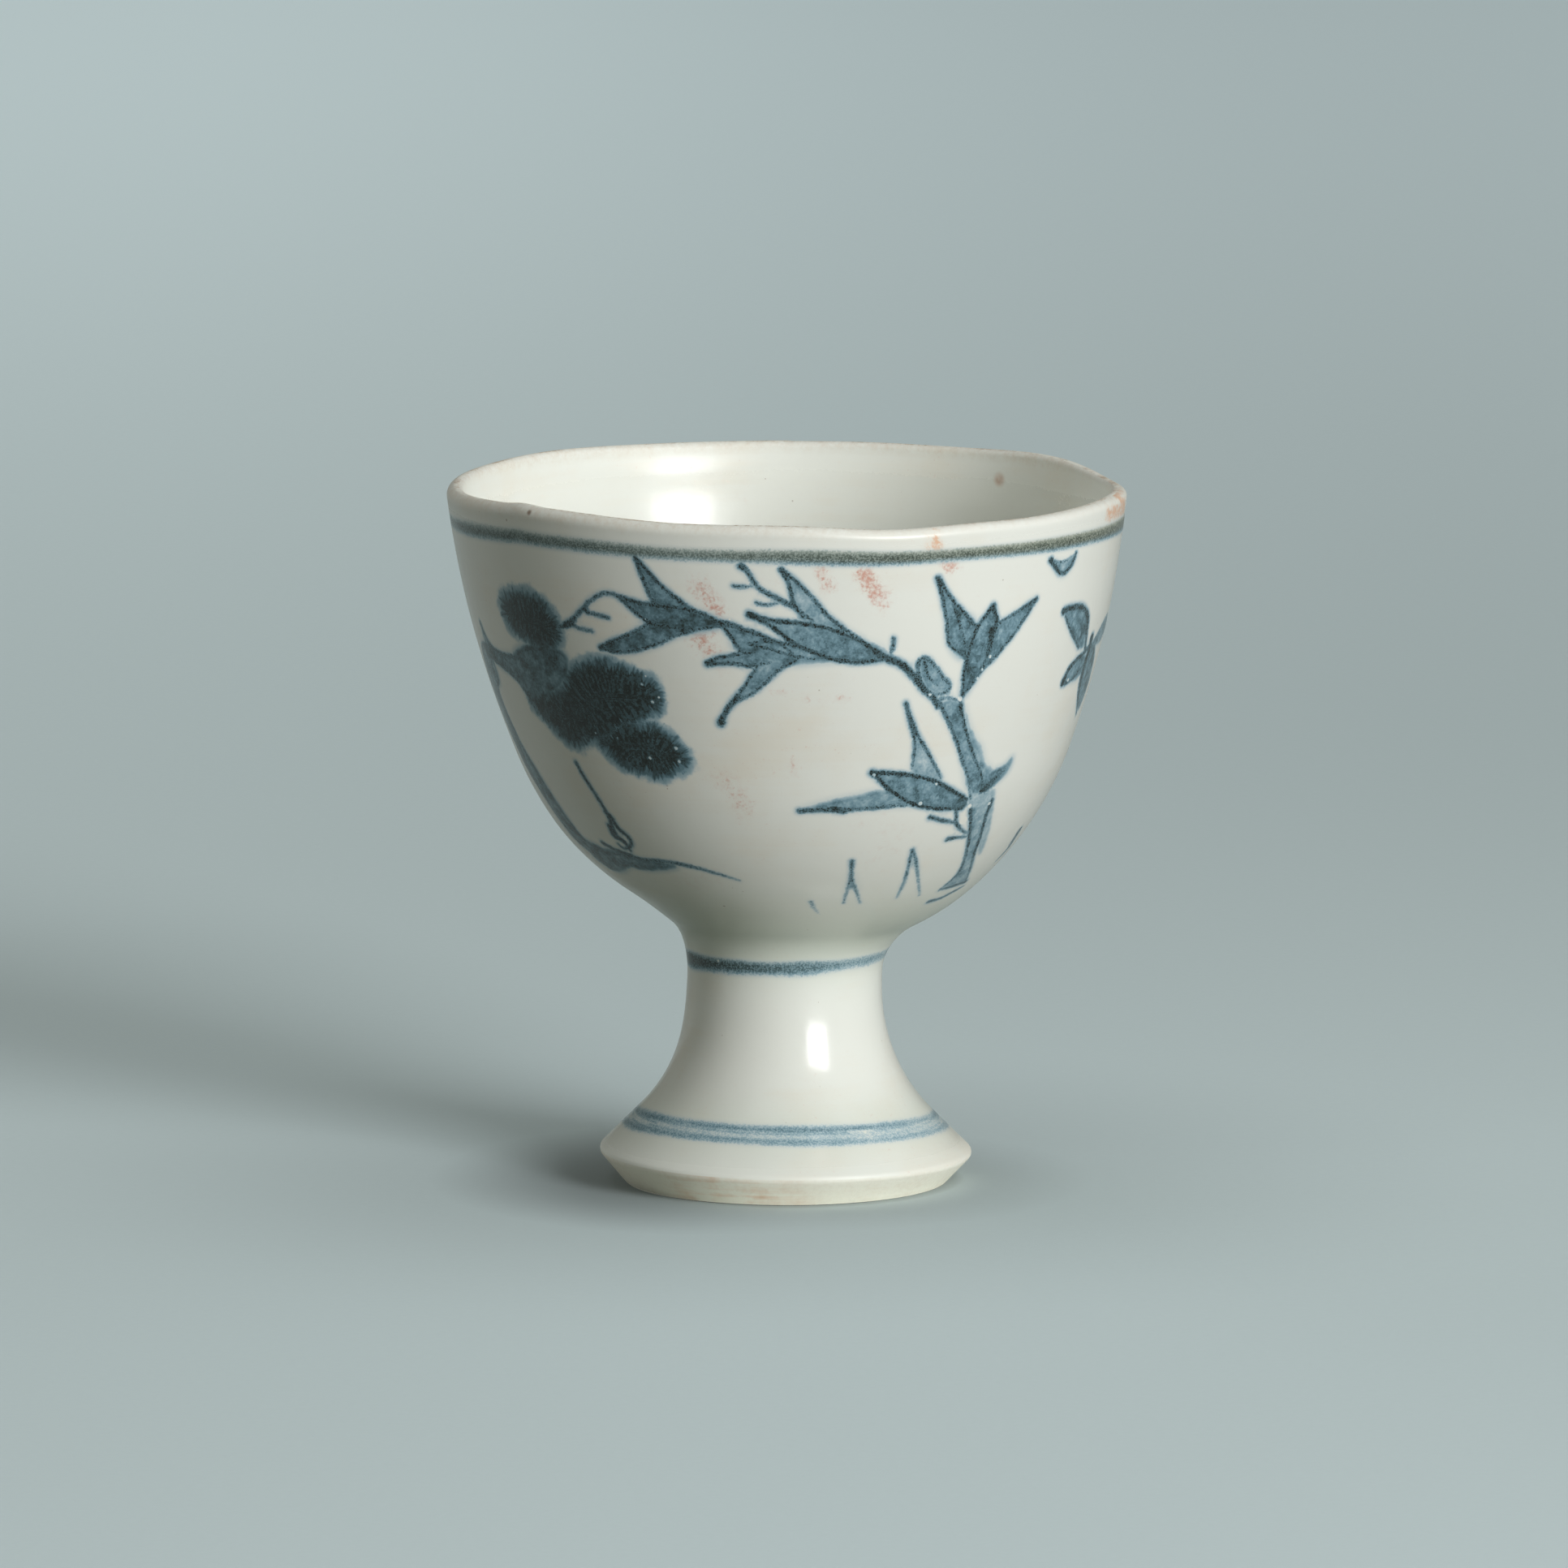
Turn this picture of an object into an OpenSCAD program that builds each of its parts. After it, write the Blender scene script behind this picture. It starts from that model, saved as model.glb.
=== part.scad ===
// Small porcelain stem cup: bowl and stem thrown apart, luted, lined in cobalt and glazed.
// Every piece is a revolve about Z. The foot ring stands on Z = 0.

/* [Bowl] */
// Overall height, from the foot ring to the lip
cup_h = 51; // [46:0.5:58]
// Outside diameter of the lip
rim_d = 49; // [45:0.5:54]
// Thickness of the finished wall at the lip
lip_w = 1.4; // [1:0.1:2]
// Lean of the wall at the lip, in degrees from upright
lip_lean = 6; // [4:0.5:8]
// Lean of the outside where the wall turns into the belly
belly_lean = 20.5; // [18:0.5:24]
// Lean of the outside where the belly turns into the neck
under_lean = 60; // [54:0.5:64]
// Thickness of the bowl's floor above the luted joint
floor_t = 4; // [3:0.1:6]
// Lean of the inside where the wall turns into the round bottom
inside_lean = 22; // [20:0.5:26]

/* [Stem] */
// Diameter of the stem at its waist
neck_d = 14; // [12:0.1:16]
// Height of the waist's lower end
waist_z = 13.8; // [12.5:0.1:14.2]
// Height at which the neck starts to spread into the bowl
neck_top_z = 14.9; // [14.6:0.1:15.6]
// Radius of the hollow curve between the neck and the bowl
neck_fillet_r = 4.7; // [3.5:0.1:5.5]
// Diameter of the foot at its sharp edge
foot_d = 26.9; // [25:0.1:29]
// Height of the foot's sharp edge
edge_h = 2.1; // [1.5:0.1:2.5]
// Rounding of the foot's sharp edge
edge_r = 0.4; // [0.35:0.05:0.6]
// Lean of the foot's upper side
foot_lean = 45; // [42:0.5:48]
// Outside diameter of the ring that the foot stands on
base_d = 23.4; // [22:0.1:24]
// Width of the ring that the foot stands on
foot_ring_w = 2.8; // [2:0.1:4]
// Diameter of the hollow at the top of the stem
hollow_top_d = 6.4; // [5:0.1:8]

/* [Luting] */
// Height of the stem's top face, where the slip lies
joint_z = 16.2; // [15.8:0.1:16.8]
// Thickness of the slip between the stem and the bowl
slip_t = 0.5; // [0.3:0.05:0.8]
// How far the slip that squeezed out inside the stem hangs down
slip_drop = 1.6; // [1:0.1:3]
// Space between the squeezed slip and the hollow's wall
slip_gap = 0.3; // [0.15:0.05:0.6]

/* [Glaze and cobalt] */
// Thickness of the clear glaze
glaze_t = 0.2; // [0.12:0.01:0.28]
// Width of the bare band worn along the top of the lip
bare_w = 0.4; // [0.2:0.05:0.6]
// Thickness of the cobalt under the glaze
cobalt_t = 0.07; // [0.04:0.01:0.1]
// Distance from the lip to the middle of the rim line
rim_line_drop = 2.6; // [2:0.1:5]
// Width of the rim line
rim_line_w = 0.8; // [0.4:0.1:1.5]
// Width of the line that hides the luted joint
neck_line_w = 0.8; // [0.6:0.1:1.2]
// Height of the upper foot line
foot_line_upper_z = 5.4; // [5.3:0.1:6]
// Height of the lower foot line
foot_line_lower_z = 4.5; // [3.6:0.1:4.6]
// Width of each foot line, measured upright
foot_line_w = 0.4; // [0.2:0.05:0.5]

/* [Hidden] */
$fn = 240;

porcelain = [0.93, 0.91, 0.86];
slip_white = [0.86, 0.83, 0.77];
glaze_tint = [0.89, 0.93, 0.91, 0.35];
cobalt = [0.17, 0.27, 0.36];

// Neighbouring arcs run into each other by this much, so that they cross instead of just touching
bite = 0.0005;
// How far a cut reaches past the arc or the edge that it ends on
past = 0.5;
// Radius that clears the whole cup
reach = rim_d;

neck_r = neck_d / 2;
slip_top_z = joint_z + slip_t;
rim_line_z = cup_h - rim_line_drop;
neck_line_z = joint_z + slip_t / 2;
floor_z = slip_top_z + floor_t;

// Direction out of a wall that spreads upwards, and out of a slope that spreads downwards
function under_side(lean) = [cos(lean), -sin(lean)];
function upper_side(lean) = [cos(lean), sin(lean)];

// Radii of a lower and an upper arc that meet tangent at the lean mid and climb by [dr, dz] in all
function two_arc_radii(climb, low, mid, top) =
    let (
        low_dr = cos(mid) - cos(low),
        low_dz = sin(low) - sin(mid),
        top_dr = cos(top) - cos(mid),
        top_dz = sin(mid) - sin(top),
        det = low_dr * top_dz - low_dz * top_dr
    )
    [
        (climb.x * top_dz - climb.y * top_dr) / det,
        (climb.y * low_dr - climb.x * low_dz) / det
    ];

// Lip: a full round between the outside and the inside
lip_r = lip_w / 2;
lip_centre = [rim_d / 2 - lip_r, cup_h - lip_r];
lip_outside = lip_centre + lip_r * under_side(lip_lean);
lip_inside = lip_centre - lip_r * under_side(lip_lean);

// Outside of the bowl: neck curve, belly arc and wall arc, each tangent to the next
neck_centre = [neck_r + neck_fillet_r, neck_top_z];
belly_start = neck_centre - neck_fillet_r * under_side(under_lean);
outside_radii = two_arc_radii(lip_outside - belly_start, under_lean, belly_lean, lip_lean);
belly_r = outside_radii[0];
wall_r = outside_radii[1];
belly_centre = belly_start - belly_r * under_side(under_lean);
wall_centre = lip_outside - wall_r * under_side(lip_lean);

// Inside of the bowl: a round bottom centred on the axis, and a wall arc tangent to it
inside_radii = two_arc_radii(lip_inside - [0, floor_z], 90, inside_lean, lip_lean);
bottom_r = inside_radii[0];
inside_wall_r = inside_radii[1];
bottom_centre = [0, floor_z + bottom_r];
inside_wall_centre = lip_inside - inside_wall_r * under_side(lip_lean);

// Foot: a rounded edge, with a tangent slope above it and a tangent chamfer below it
edge_centre = [foot_d / 2 - edge_r, edge_h];
base_point = [base_d / 2, 0];
to_base = base_point - edge_centre;
chamfer_turn = atan2(to_base.y, to_base.x) + acos(edge_r / norm(to_base));
chamfer_top = edge_centre + edge_r * [cos(chamfer_turn), sin(chamfer_turn)];

// Stem: a hollow curve from the waist down, tangent to the foot's upper slope
slope_start = edge_centre + edge_r * upper_side(foot_lean);
stem_spread = slope_start.x - neck_r;
stem_rise = waist_z - slope_start.y;
stem_curve_r = (stem_rise - stem_spread / tan(foot_lean))
    / (sin(foot_lean) - (1 - cos(foot_lean)) / tan(foot_lean));
stem_centre = [neck_r + stem_curve_r, waist_z];

// Where the foot's upper slope ends and where the belly starts, with the skin moved outwards by t
function slope_end(t) = stem_centre - (stem_curve_r - t) * upper_side(foot_lean);
function belly_low(t) = belly_centre + (belly_r + t) * under_side(under_lean);

// A rectangle from the axis, between two heights
module slice(r, low, high) {
    translate([0, low]) square([r, high - low]);
}

module disc(centre, r) {
    translate(centre) circle(r);
}

// Cut that leaves the right side of a disc as a bulge, between two heights
module bulge_cut(centre, r, low, high) {
    difference() {
        translate([max(centre.x, 0), low]) square([reach, high - low]);
        disc(centre, r);
    }
}

// Cut that sinks the left side of a disc as a hollow, between two heights
module hollow_cut(centre, r, low, high) {
    intersection() {
        disc(centre, r);
        slice(reach, low, high);
    }
    translate([centre.x, low]) square([reach, high - low]);
}

// Cut that turns the chamfer, the rounded edge and the upper slope of the foot
module foot_cut(t) {
    edge_end = edge_centre + (edge_r + t) * upper_side(foot_lean);
    slope_top = slope_end(t);
    chamfer_run = chamfer_top - base_point;
    chamfer_far = base_point + 2 * chamfer_run;
    polygon([base_point - chamfer_run, chamfer_far, [reach, chamfer_far.y], [reach, -past]]);
    bulge_cut(edge_centre, edge_r + t + bite, chamfer_top.y, edge_end.y);
    polygon([slope_top, 2 * edge_end - slope_top, [reach, edge_h - past], [reach, slope_top.y]]);
}

// Cut that turns the stem's hollow curve, the waist and the neck
module stem_cut(t) {
    waist_mid = (waist_z + neck_top_z) / 2;
    hollow_cut(stem_centre, stem_curve_r - t + bite, slope_end(t).y - past, waist_mid);
    translate([neck_r + t, waist_z]) square([reach, neck_top_z - waist_z]);
    hollow_cut(neck_centre, neck_fillet_r - t + bite, waist_mid, belly_low(t).y + past);
}

// Cut that turns the belly, the wall and the lip of the bowl
module bowl_cut(t) {
    belly_high = belly_centre + (belly_r + t) * under_side(belly_lean);
    wall_high = wall_centre + (wall_r + t) * under_side(lip_lean);
    bulge_cut(belly_centre, belly_r + t + bite, belly_low(t).y, belly_high.y);
    bulge_cut(wall_centre, wall_r + t, belly_high.y - past, cup_h + past);
    bulge_cut(lip_centre, lip_r + t + bite, wall_high.y, cup_h + past);
}

// Half section of the cup's outside, filled to the axis, with its skin moved outwards by t
module outline(t) {
    difference() {
        slice(reach, 0, cup_h);
        foot_cut(t);
        stem_cut(t);
        bowl_cut(t);
    }
}

// Half section of the bowl's inside, open at the top, with its skin moved into the wall by t
module bowl_inside(t) {
    bottom_high = bottom_centre + (bottom_r + t) * under_side(inside_lean);
    wall_high = inside_wall_centre + (inside_wall_r + t) * under_side(lip_lean);
    difference() {
        slice(lip_centre.x, floor_z - past, cup_h + past);
        bulge_cut(bottom_centre, bottom_r + t + bite, floor_z - 2 * past, bottom_high.y);
        bulge_cut(inside_wall_centre, inside_wall_r + t, bottom_high.y - past, wall_high.y);
        disc(lip_centre, lip_r - t + bite);
    }
}

// Half section of the bare top of the lip, where the glaze is worn away
module bare_lip() {
    intersection() {
        disc(lip_centre, lip_r + bite);
        translate(lip_centre - [bare_w / 2, 0]) square([bare_w, lip_w]);
    }
}

// Half section of the room that a painted line takes under the glaze, filled to the axis
module line_room(middle, width) {
    intersection() {
        outline(cobalt_t - glaze_t);
        slice(reach, middle - width / 2, middle + width / 2);
    }
}

// A painted line round the cup, which lies on the body
module painted_line(middle, width) {
    color(cobalt) rotate_extrude() difference() {
        line_room(middle, width);
        outline(-glaze_t);
    }
}

// Thrown and turned bowl, with the short neck that is luted to the stem
module bowl() {
    color(porcelain) rotate_extrude() {
        difference() {
            intersection() {
                outline(-glaze_t);
                slice(reach, slip_top_z, lip_centre.y + lip_r - glaze_t);
            }
            bowl_inside(glaze_t);
        }
        bare_lip();
    }
}

// Hollow stem with its spreading foot, bare below the sharp edge
module stem() {
    color(porcelain) rotate_extrude() difference() {
        union() {
            intersection() {
                outline(-glaze_t);
                slice(reach, 0, joint_z);
            }
            intersection() {
                outline(0);
                slice(reach, 0, edge_h);
            }
        }
        polygon([
            [0, -past], [base_d / 2 - foot_ring_w, -past], [base_d / 2 - foot_ring_w, 0],
            [hollow_top_d / 2, joint_z], [0, joint_z]
        ]);
    }
}

// Slip between the stem and the bowl, with the drop that squeezed into the hollow
module luting_slip() {
    drop_w = hollow_top_d / 2 - slip_gap;
    drop_r = (drop_w * drop_w + slip_drop * slip_drop) / (2 * slip_drop);
    color(slip_white) rotate_extrude() {
        intersection() {
            outline(-glaze_t);
            slice(reach, joint_z, slip_top_z);
        }
        intersection() {
            disc([0, joint_z - slip_drop + drop_r], drop_r);
            slice(reach, joint_z - slip_drop - past, slip_top_z);
        }
    }
}

// Clear glaze over the outside, from the lip to the foot's sharp edge
module outer_glaze() {
    color(glaze_tint) rotate_extrude() difference() {
        intersection() {
            outline(0);
            slice(reach, edge_h, cup_h);
        }
        outline(-glaze_t);
        slice(lip_centre.x + bare_w / 2, lip_centre.y, cup_h + past);
        line_room(rim_line_z, rim_line_w);
        line_room(neck_line_z, neck_line_w);
        line_room(foot_line_upper_z, foot_line_w);
        line_room(foot_line_lower_z, foot_line_w);
    }
}

// Clear glaze that lines the bowl
module lining_glaze() {
    color(glaze_tint) rotate_extrude() difference() {
        bowl_inside(glaze_t);
        bowl_inside(0);
        translate(lip_centre - [bare_w / 2, 0]) square([lip_w, lip_w + past]);
    }
}

module rim_line() {
    painted_line(rim_line_z, rim_line_w);
}

module neck_line() {
    painted_line(neck_line_z, neck_line_w);
}

module foot_line_upper() {
    painted_line(foot_line_upper_z, foot_line_w);
}

module foot_line_lower() {
    painted_line(foot_line_lower_z, foot_line_w);
}

bowl();
stem();
luting_slip();
outer_glaze();
lining_glaze();
rim_line();
neck_line();
foot_line_upper();
foot_line_lower();
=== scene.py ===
"""Looks of a small painted porcelain stem cup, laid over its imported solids.

Shapes are worked out in millimetres, in the frame of the solids, and scaled to metres in the meshes.
The painting is a set of brush strokes that become attributes of the glazed skin's points.
"""

import logging
import math
from dataclasses import dataclass, field
from enum import Enum
from functools import partial, reduce

import bmesh
import bpy
import numpy as np
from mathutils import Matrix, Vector, kdtree
from mathutils.bvhtree import BVHTree


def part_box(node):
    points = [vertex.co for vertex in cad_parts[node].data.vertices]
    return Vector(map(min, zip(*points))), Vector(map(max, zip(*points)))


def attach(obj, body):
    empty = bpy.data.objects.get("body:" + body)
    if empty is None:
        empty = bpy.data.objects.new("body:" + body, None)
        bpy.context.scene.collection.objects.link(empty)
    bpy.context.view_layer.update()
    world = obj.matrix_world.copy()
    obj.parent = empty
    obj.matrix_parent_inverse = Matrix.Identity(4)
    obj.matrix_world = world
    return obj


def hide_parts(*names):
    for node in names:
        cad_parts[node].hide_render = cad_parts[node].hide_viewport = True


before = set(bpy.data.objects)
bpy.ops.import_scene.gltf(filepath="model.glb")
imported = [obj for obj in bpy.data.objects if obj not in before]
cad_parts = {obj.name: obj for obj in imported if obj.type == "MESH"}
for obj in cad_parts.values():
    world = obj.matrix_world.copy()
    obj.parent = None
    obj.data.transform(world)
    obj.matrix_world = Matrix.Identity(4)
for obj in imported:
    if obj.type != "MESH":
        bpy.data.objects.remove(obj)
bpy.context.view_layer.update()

LOG = logging.getLogger("stem_cup")
# A millimetre in metres, and the photograph's side in pixels.
MM = 0.001
PHOTO_SIDE = 1932
# Radius, in millimetres, at which strokes on the back are drawn flat.
BACK_RADIUS = 21.0
# Distances in millimetres between the points of walls, small rounds and flat runs.
STEP = 0.08
ROUND_STEP = 0.05
FLAT_STEP = 0.5
# How far points stay away from the ends of a path that is cut at a height, in millimetres.
CLEAR = 0.02
BLACK = (0.0, 0.0, 0.0, 1.0)

Point = tuple[float, float]
Path = tuple[Point, ...]
Points = list[Point]
Span = tuple[float, float]
Wave = tuple[float, int, float]
Colour = tuple[float, float, float, float]
Triple = tuple[float, float, float]
Floats = tuple[float, ...]
Array = np.ndarray
Piece = bpy.types.Object
Material = bpy.types.Material
Tree = bpy.types.NodeTree
Node = bpy.types.Node
Socket = bpy.types.NodeSocket
Sockets = bpy.types.NodeOutputs


def linear(share: float) -> float:
    """Linear light of a share of a display's full light."""
    return share / 12.92 if share <= 0.04045 else ((share + 0.055) / 1.055) ** 2.4


def pigment(red: int, green: int, blue: int) -> Colour:
    """The colour that a shader takes for a display colour, of 0 to 255 each."""
    return (linear(red / 255), linear(green / 255), linear(blue / 255), 1.0)


def arc(centre: Point, radius: float, start: float, end: float, step: float = STEP) -> Points:
    """Points along an arc.

    Args:
        centre: centre of the arc, as radius from the axis and height.
        radius: radius of the arc.
        start, end: angles in degrees.
        step: longest distance between two points.

    Returns:
        The points, with both ends.
    """
    count = max(2, math.ceil(abs(math.radians(end - start)) * radius / step))
    turns = np.linspace(math.radians(start), math.radians(end), count + 1)
    return [(centre[0] + radius * math.cos(a), centre[1] + radius * math.sin(a)) for a in turns]


def straight(start: Point, end: Point, step: float = STEP) -> Points:
    """Points along a straight run, with both ends."""
    count = max(1, math.ceil(math.dist(start, end) / step))
    return [tuple(np.add(start, np.subtract(end, start) * i / count)) for i in range(count + 1)]


def smooth_path(points: Path, step: float, closed: bool = False) -> Array:
    """Runs a smooth curve through given points.

    Args:
        points: the points to pass through.
        step: distance between the points of the curve.
        closed: whether the curve comes back to its start.

    Returns:
        The points of the curve, one row each.
    """
    knots = np.array(points, float)
    if closed:
        knots = np.vstack([knots[-1:], knots, knots[:2]])
    else:
        knots = np.vstack([2 * knots[0] - knots[1], knots, 2 * knots[-1] - knots[-2]])
    rows = []
    for before, here, there, after in zip(knots, knots[1:], knots[2:], knots[3:]):
        count = max(1, round(np.linalg.norm(there - here) / step))
        for share in np.arange(count) / count:
            bend = 3 * here - before - 3 * there + after
            dip = 2 * before - 5 * here + 4 * there - after
            rows.append(0.5 * (2 * here + share * ((there - before) + share * (dip + share * bend))))
    rows.append(knots[-2])
    return np.array(rows)


def bell(value: Array, middle: float, width: float) -> Array:
    """A smooth bump, 1 in the middle, that falls to about a third over a width on either side."""
    return np.exp(-(((value - middle) / width) ** 2))


def waves(turn: Array, parts: tuple[Wave, ...]) -> Array:
    """Adds up waves round the cup, each with its height, its count and its start in radians."""
    return sum(height * np.sin(count * turn + start) for height, count, start in parts)


@dataclass(frozen=True)
class CupShape:
    """Turned shape of the cup: the driving sizes of its source, in millimetres, and the arcs they give."""

    height: float
    rim_d: float
    lip_w: float = 1.4
    lip_lean: float = 6.0
    belly_lean: float = 20.5
    under_lean: float = 60.0
    floor_t: float = 4.0
    inside_lean: float = 22.0
    inside_lip_lean: float = 2.5
    lip_flare: Triple = (0.16, 50.35, 0.9)
    lip_groove: Triple = (0.1, 47.2, 1.6)
    swell_end: float = 0.5
    neck_d: float = 14.0
    waist_z: float = 13.8
    neck_top_z: float = 14.9
    neck_fillet_r: float = 4.7
    foot_d: float = 26.9
    edge_h: float = 2.1
    edge_r: float = 0.4
    foot_lean: float = 45.0
    base_d: float = 23.4
    foot_ring_w: float = 2.8
    hollow_top_d: float = 6.4
    joint_z: float = 16.2
    slip_t: float = 0.5
    glaze_t: float = 0.2
    bare_w: float = 0.4
    cobalt_t: float = 0.07

    @staticmethod
    def out(lean: float) -> Array:
        """Direction out of a wall that spreads upwards with this lean."""
        return np.array([math.cos(math.radians(lean)), -math.sin(math.radians(lean))])

    def two_arcs(self, climb: Array, low: float, mid: float, top: float) -> Array:
        """Radii of two arcs, the lower first, that meet tangent and climb so far, by their leans."""
        runs = [self.out(mid) - self.out(low), self.out(top) - self.out(mid)]
        return np.linalg.solve(np.column_stack(runs), climb)

    @property
    def lip_r(self) -> float:
        """Radius of the lip's round."""
        return self.lip_w / 2

    @property
    def lip_centre(self) -> Array:
        """Centre of the lip's round."""
        return np.array([self.rim_d / 2 - self.lip_r, self.height - self.lip_r])

    @property
    def edge_centre(self) -> Array:
        """Centre of the rounding of the foot's sharp edge."""
        return np.array([self.foot_d / 2 - self.edge_r, self.edge_h])

    def crest_turn(self, radius: float) -> float:
        """Angle on the lip's round, of this radius, at which the bare crest starts."""
        return math.degrees(math.acos(self.bare_w / 2 / radius))

    def stem_skin(self, t: float) -> Points:
        """Outside of the foot and the stem, from the sharp edge to the neck.

        Args:
            t: how far the skin is moved outwards.

        Returns:
            The points, from below.
        """
        neck_r = self.neck_d / 2
        lean = math.radians(self.foot_lean)
        upper = np.array([math.cos(lean), math.sin(lean)])
        slope_start = self.edge_centre + self.edge_r * upper
        spread, rise = slope_start[0] - neck_r, self.waist_z - slope_start[1]
        left_over = math.sin(lean) - (1 - math.cos(lean)) / math.tan(lean)
        curve_r = (rise - spread / math.tan(lean)) / left_over
        curve_centre = np.array([neck_r + curve_r, self.waist_z])
        path = arc(self.edge_centre, self.edge_r + t, 0, self.foot_lean, ROUND_STEP)
        curve = arc(curve_centre, curve_r - t, 180 + self.foot_lean, 180)
        path += straight(path[-1], curve[0]) + curve
        return path + straight(curve[-1], (neck_r + t, self.neck_top_z))

    def bowl_skin(self, t: float) -> Points:
        """Outside of the bowl, from the neck to the bare crest of the lip.

        Args:
            t: how far the skin is moved outwards.

        Returns:
            The points, from below.
        """
        neck_centre = np.array([self.neck_d / 2 + self.neck_fillet_r, self.neck_top_z])
        belly_start = neck_centre - self.neck_fillet_r * self.out(self.under_lean)
        lip_outside = self.lip_centre + self.lip_r * self.out(self.lip_lean)
        climb = lip_outside - belly_start
        belly_r, wall_r = self.two_arcs(climb, self.under_lean, self.belly_lean, self.lip_lean)
        belly_centre = belly_start - belly_r * self.out(self.under_lean)
        wall_centre = lip_outside - wall_r * self.out(self.lip_lean)
        lip_r = self.lip_r + t
        path = arc(neck_centre, self.neck_fillet_r - t, 180, 180 - self.under_lean)
        path += arc(belly_centre, belly_r + t, -self.under_lean, -self.belly_lean)
        path += arc(wall_centre, wall_r + t, -self.belly_lean, -self.lip_lean)
        return path + arc(self.lip_centre, lip_r, -self.lip_lean, self.crest_turn(lip_r), ROUND_STEP)

    def inside_skin(self, t: float) -> Points:
        """Inside of the bowl, from the bare crest of the lip down to the axis.

        Args:
            t: how far the skin is moved into the wall.

        Returns:
            The points, from above.
        """
        floor = np.array([0.0, self.joint_z + self.slip_t + self.floor_t])
        lip_inside = self.lip_centre - self.lip_r * self.out(self.inside_lip_lean)
        bottom_r, wall_r = self.two_arcs(lip_inside - floor, 90, self.inside_lean, self.inside_lip_lean)
        wall_centre = lip_inside - wall_r * self.out(self.inside_lip_lean)
        lip_r = self.lip_r - t
        crest = 180 - self.crest_turn(lip_r)
        path = arc(self.lip_centre, lip_r, crest, 180 - self.inside_lip_lean, ROUND_STEP)
        path += arc(wall_centre, wall_r + t, -self.inside_lip_lean, -self.inside_lean)
        path += arc((0.0, floor[1] + bottom_r), bottom_r + t, -self.inside_lean, -90)
        path = [(radius + self.inside_swell(height), height) for radius, height in path]
        return path[:-1] + [(0.0, floor[1] - t)]

    def inside_swell(self, height: float) -> float:
        """How far the flare of the lip and the groove under it widen the inside at a height."""
        swell = sum(bump[0] * float(bell(height, *bump[1:])) for bump in (self.lip_flare, self.lip_groove))
        return swell * min(1.0, max(0.0, (self.height - height) / self.swell_end))

    def foot_face(self) -> Points:
        """Bare underside of the foot, from the sharp edge to the top of the stem's hollow.

        Returns:
            The points, from the edge.
        """
        base = np.array([self.base_d / 2, 0.0])
        away = base - self.edge_centre
        turn = math.degrees(math.atan2(away[1], away[0]) + math.acos(self.edge_r / np.linalg.norm(away)))
        path = arc(self.edge_centre, self.edge_r, 0, turn, ROUND_STEP)
        path += straight(path[-1], base, FLAT_STEP)
        ring_inside = (self.base_d / 2 - self.foot_ring_w, 0.0)
        path += straight(base, ring_inside, FLAT_STEP)
        return path + straight(ring_inside, (self.hollow_top_d / 2, self.joint_z), step=0.8)


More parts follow.
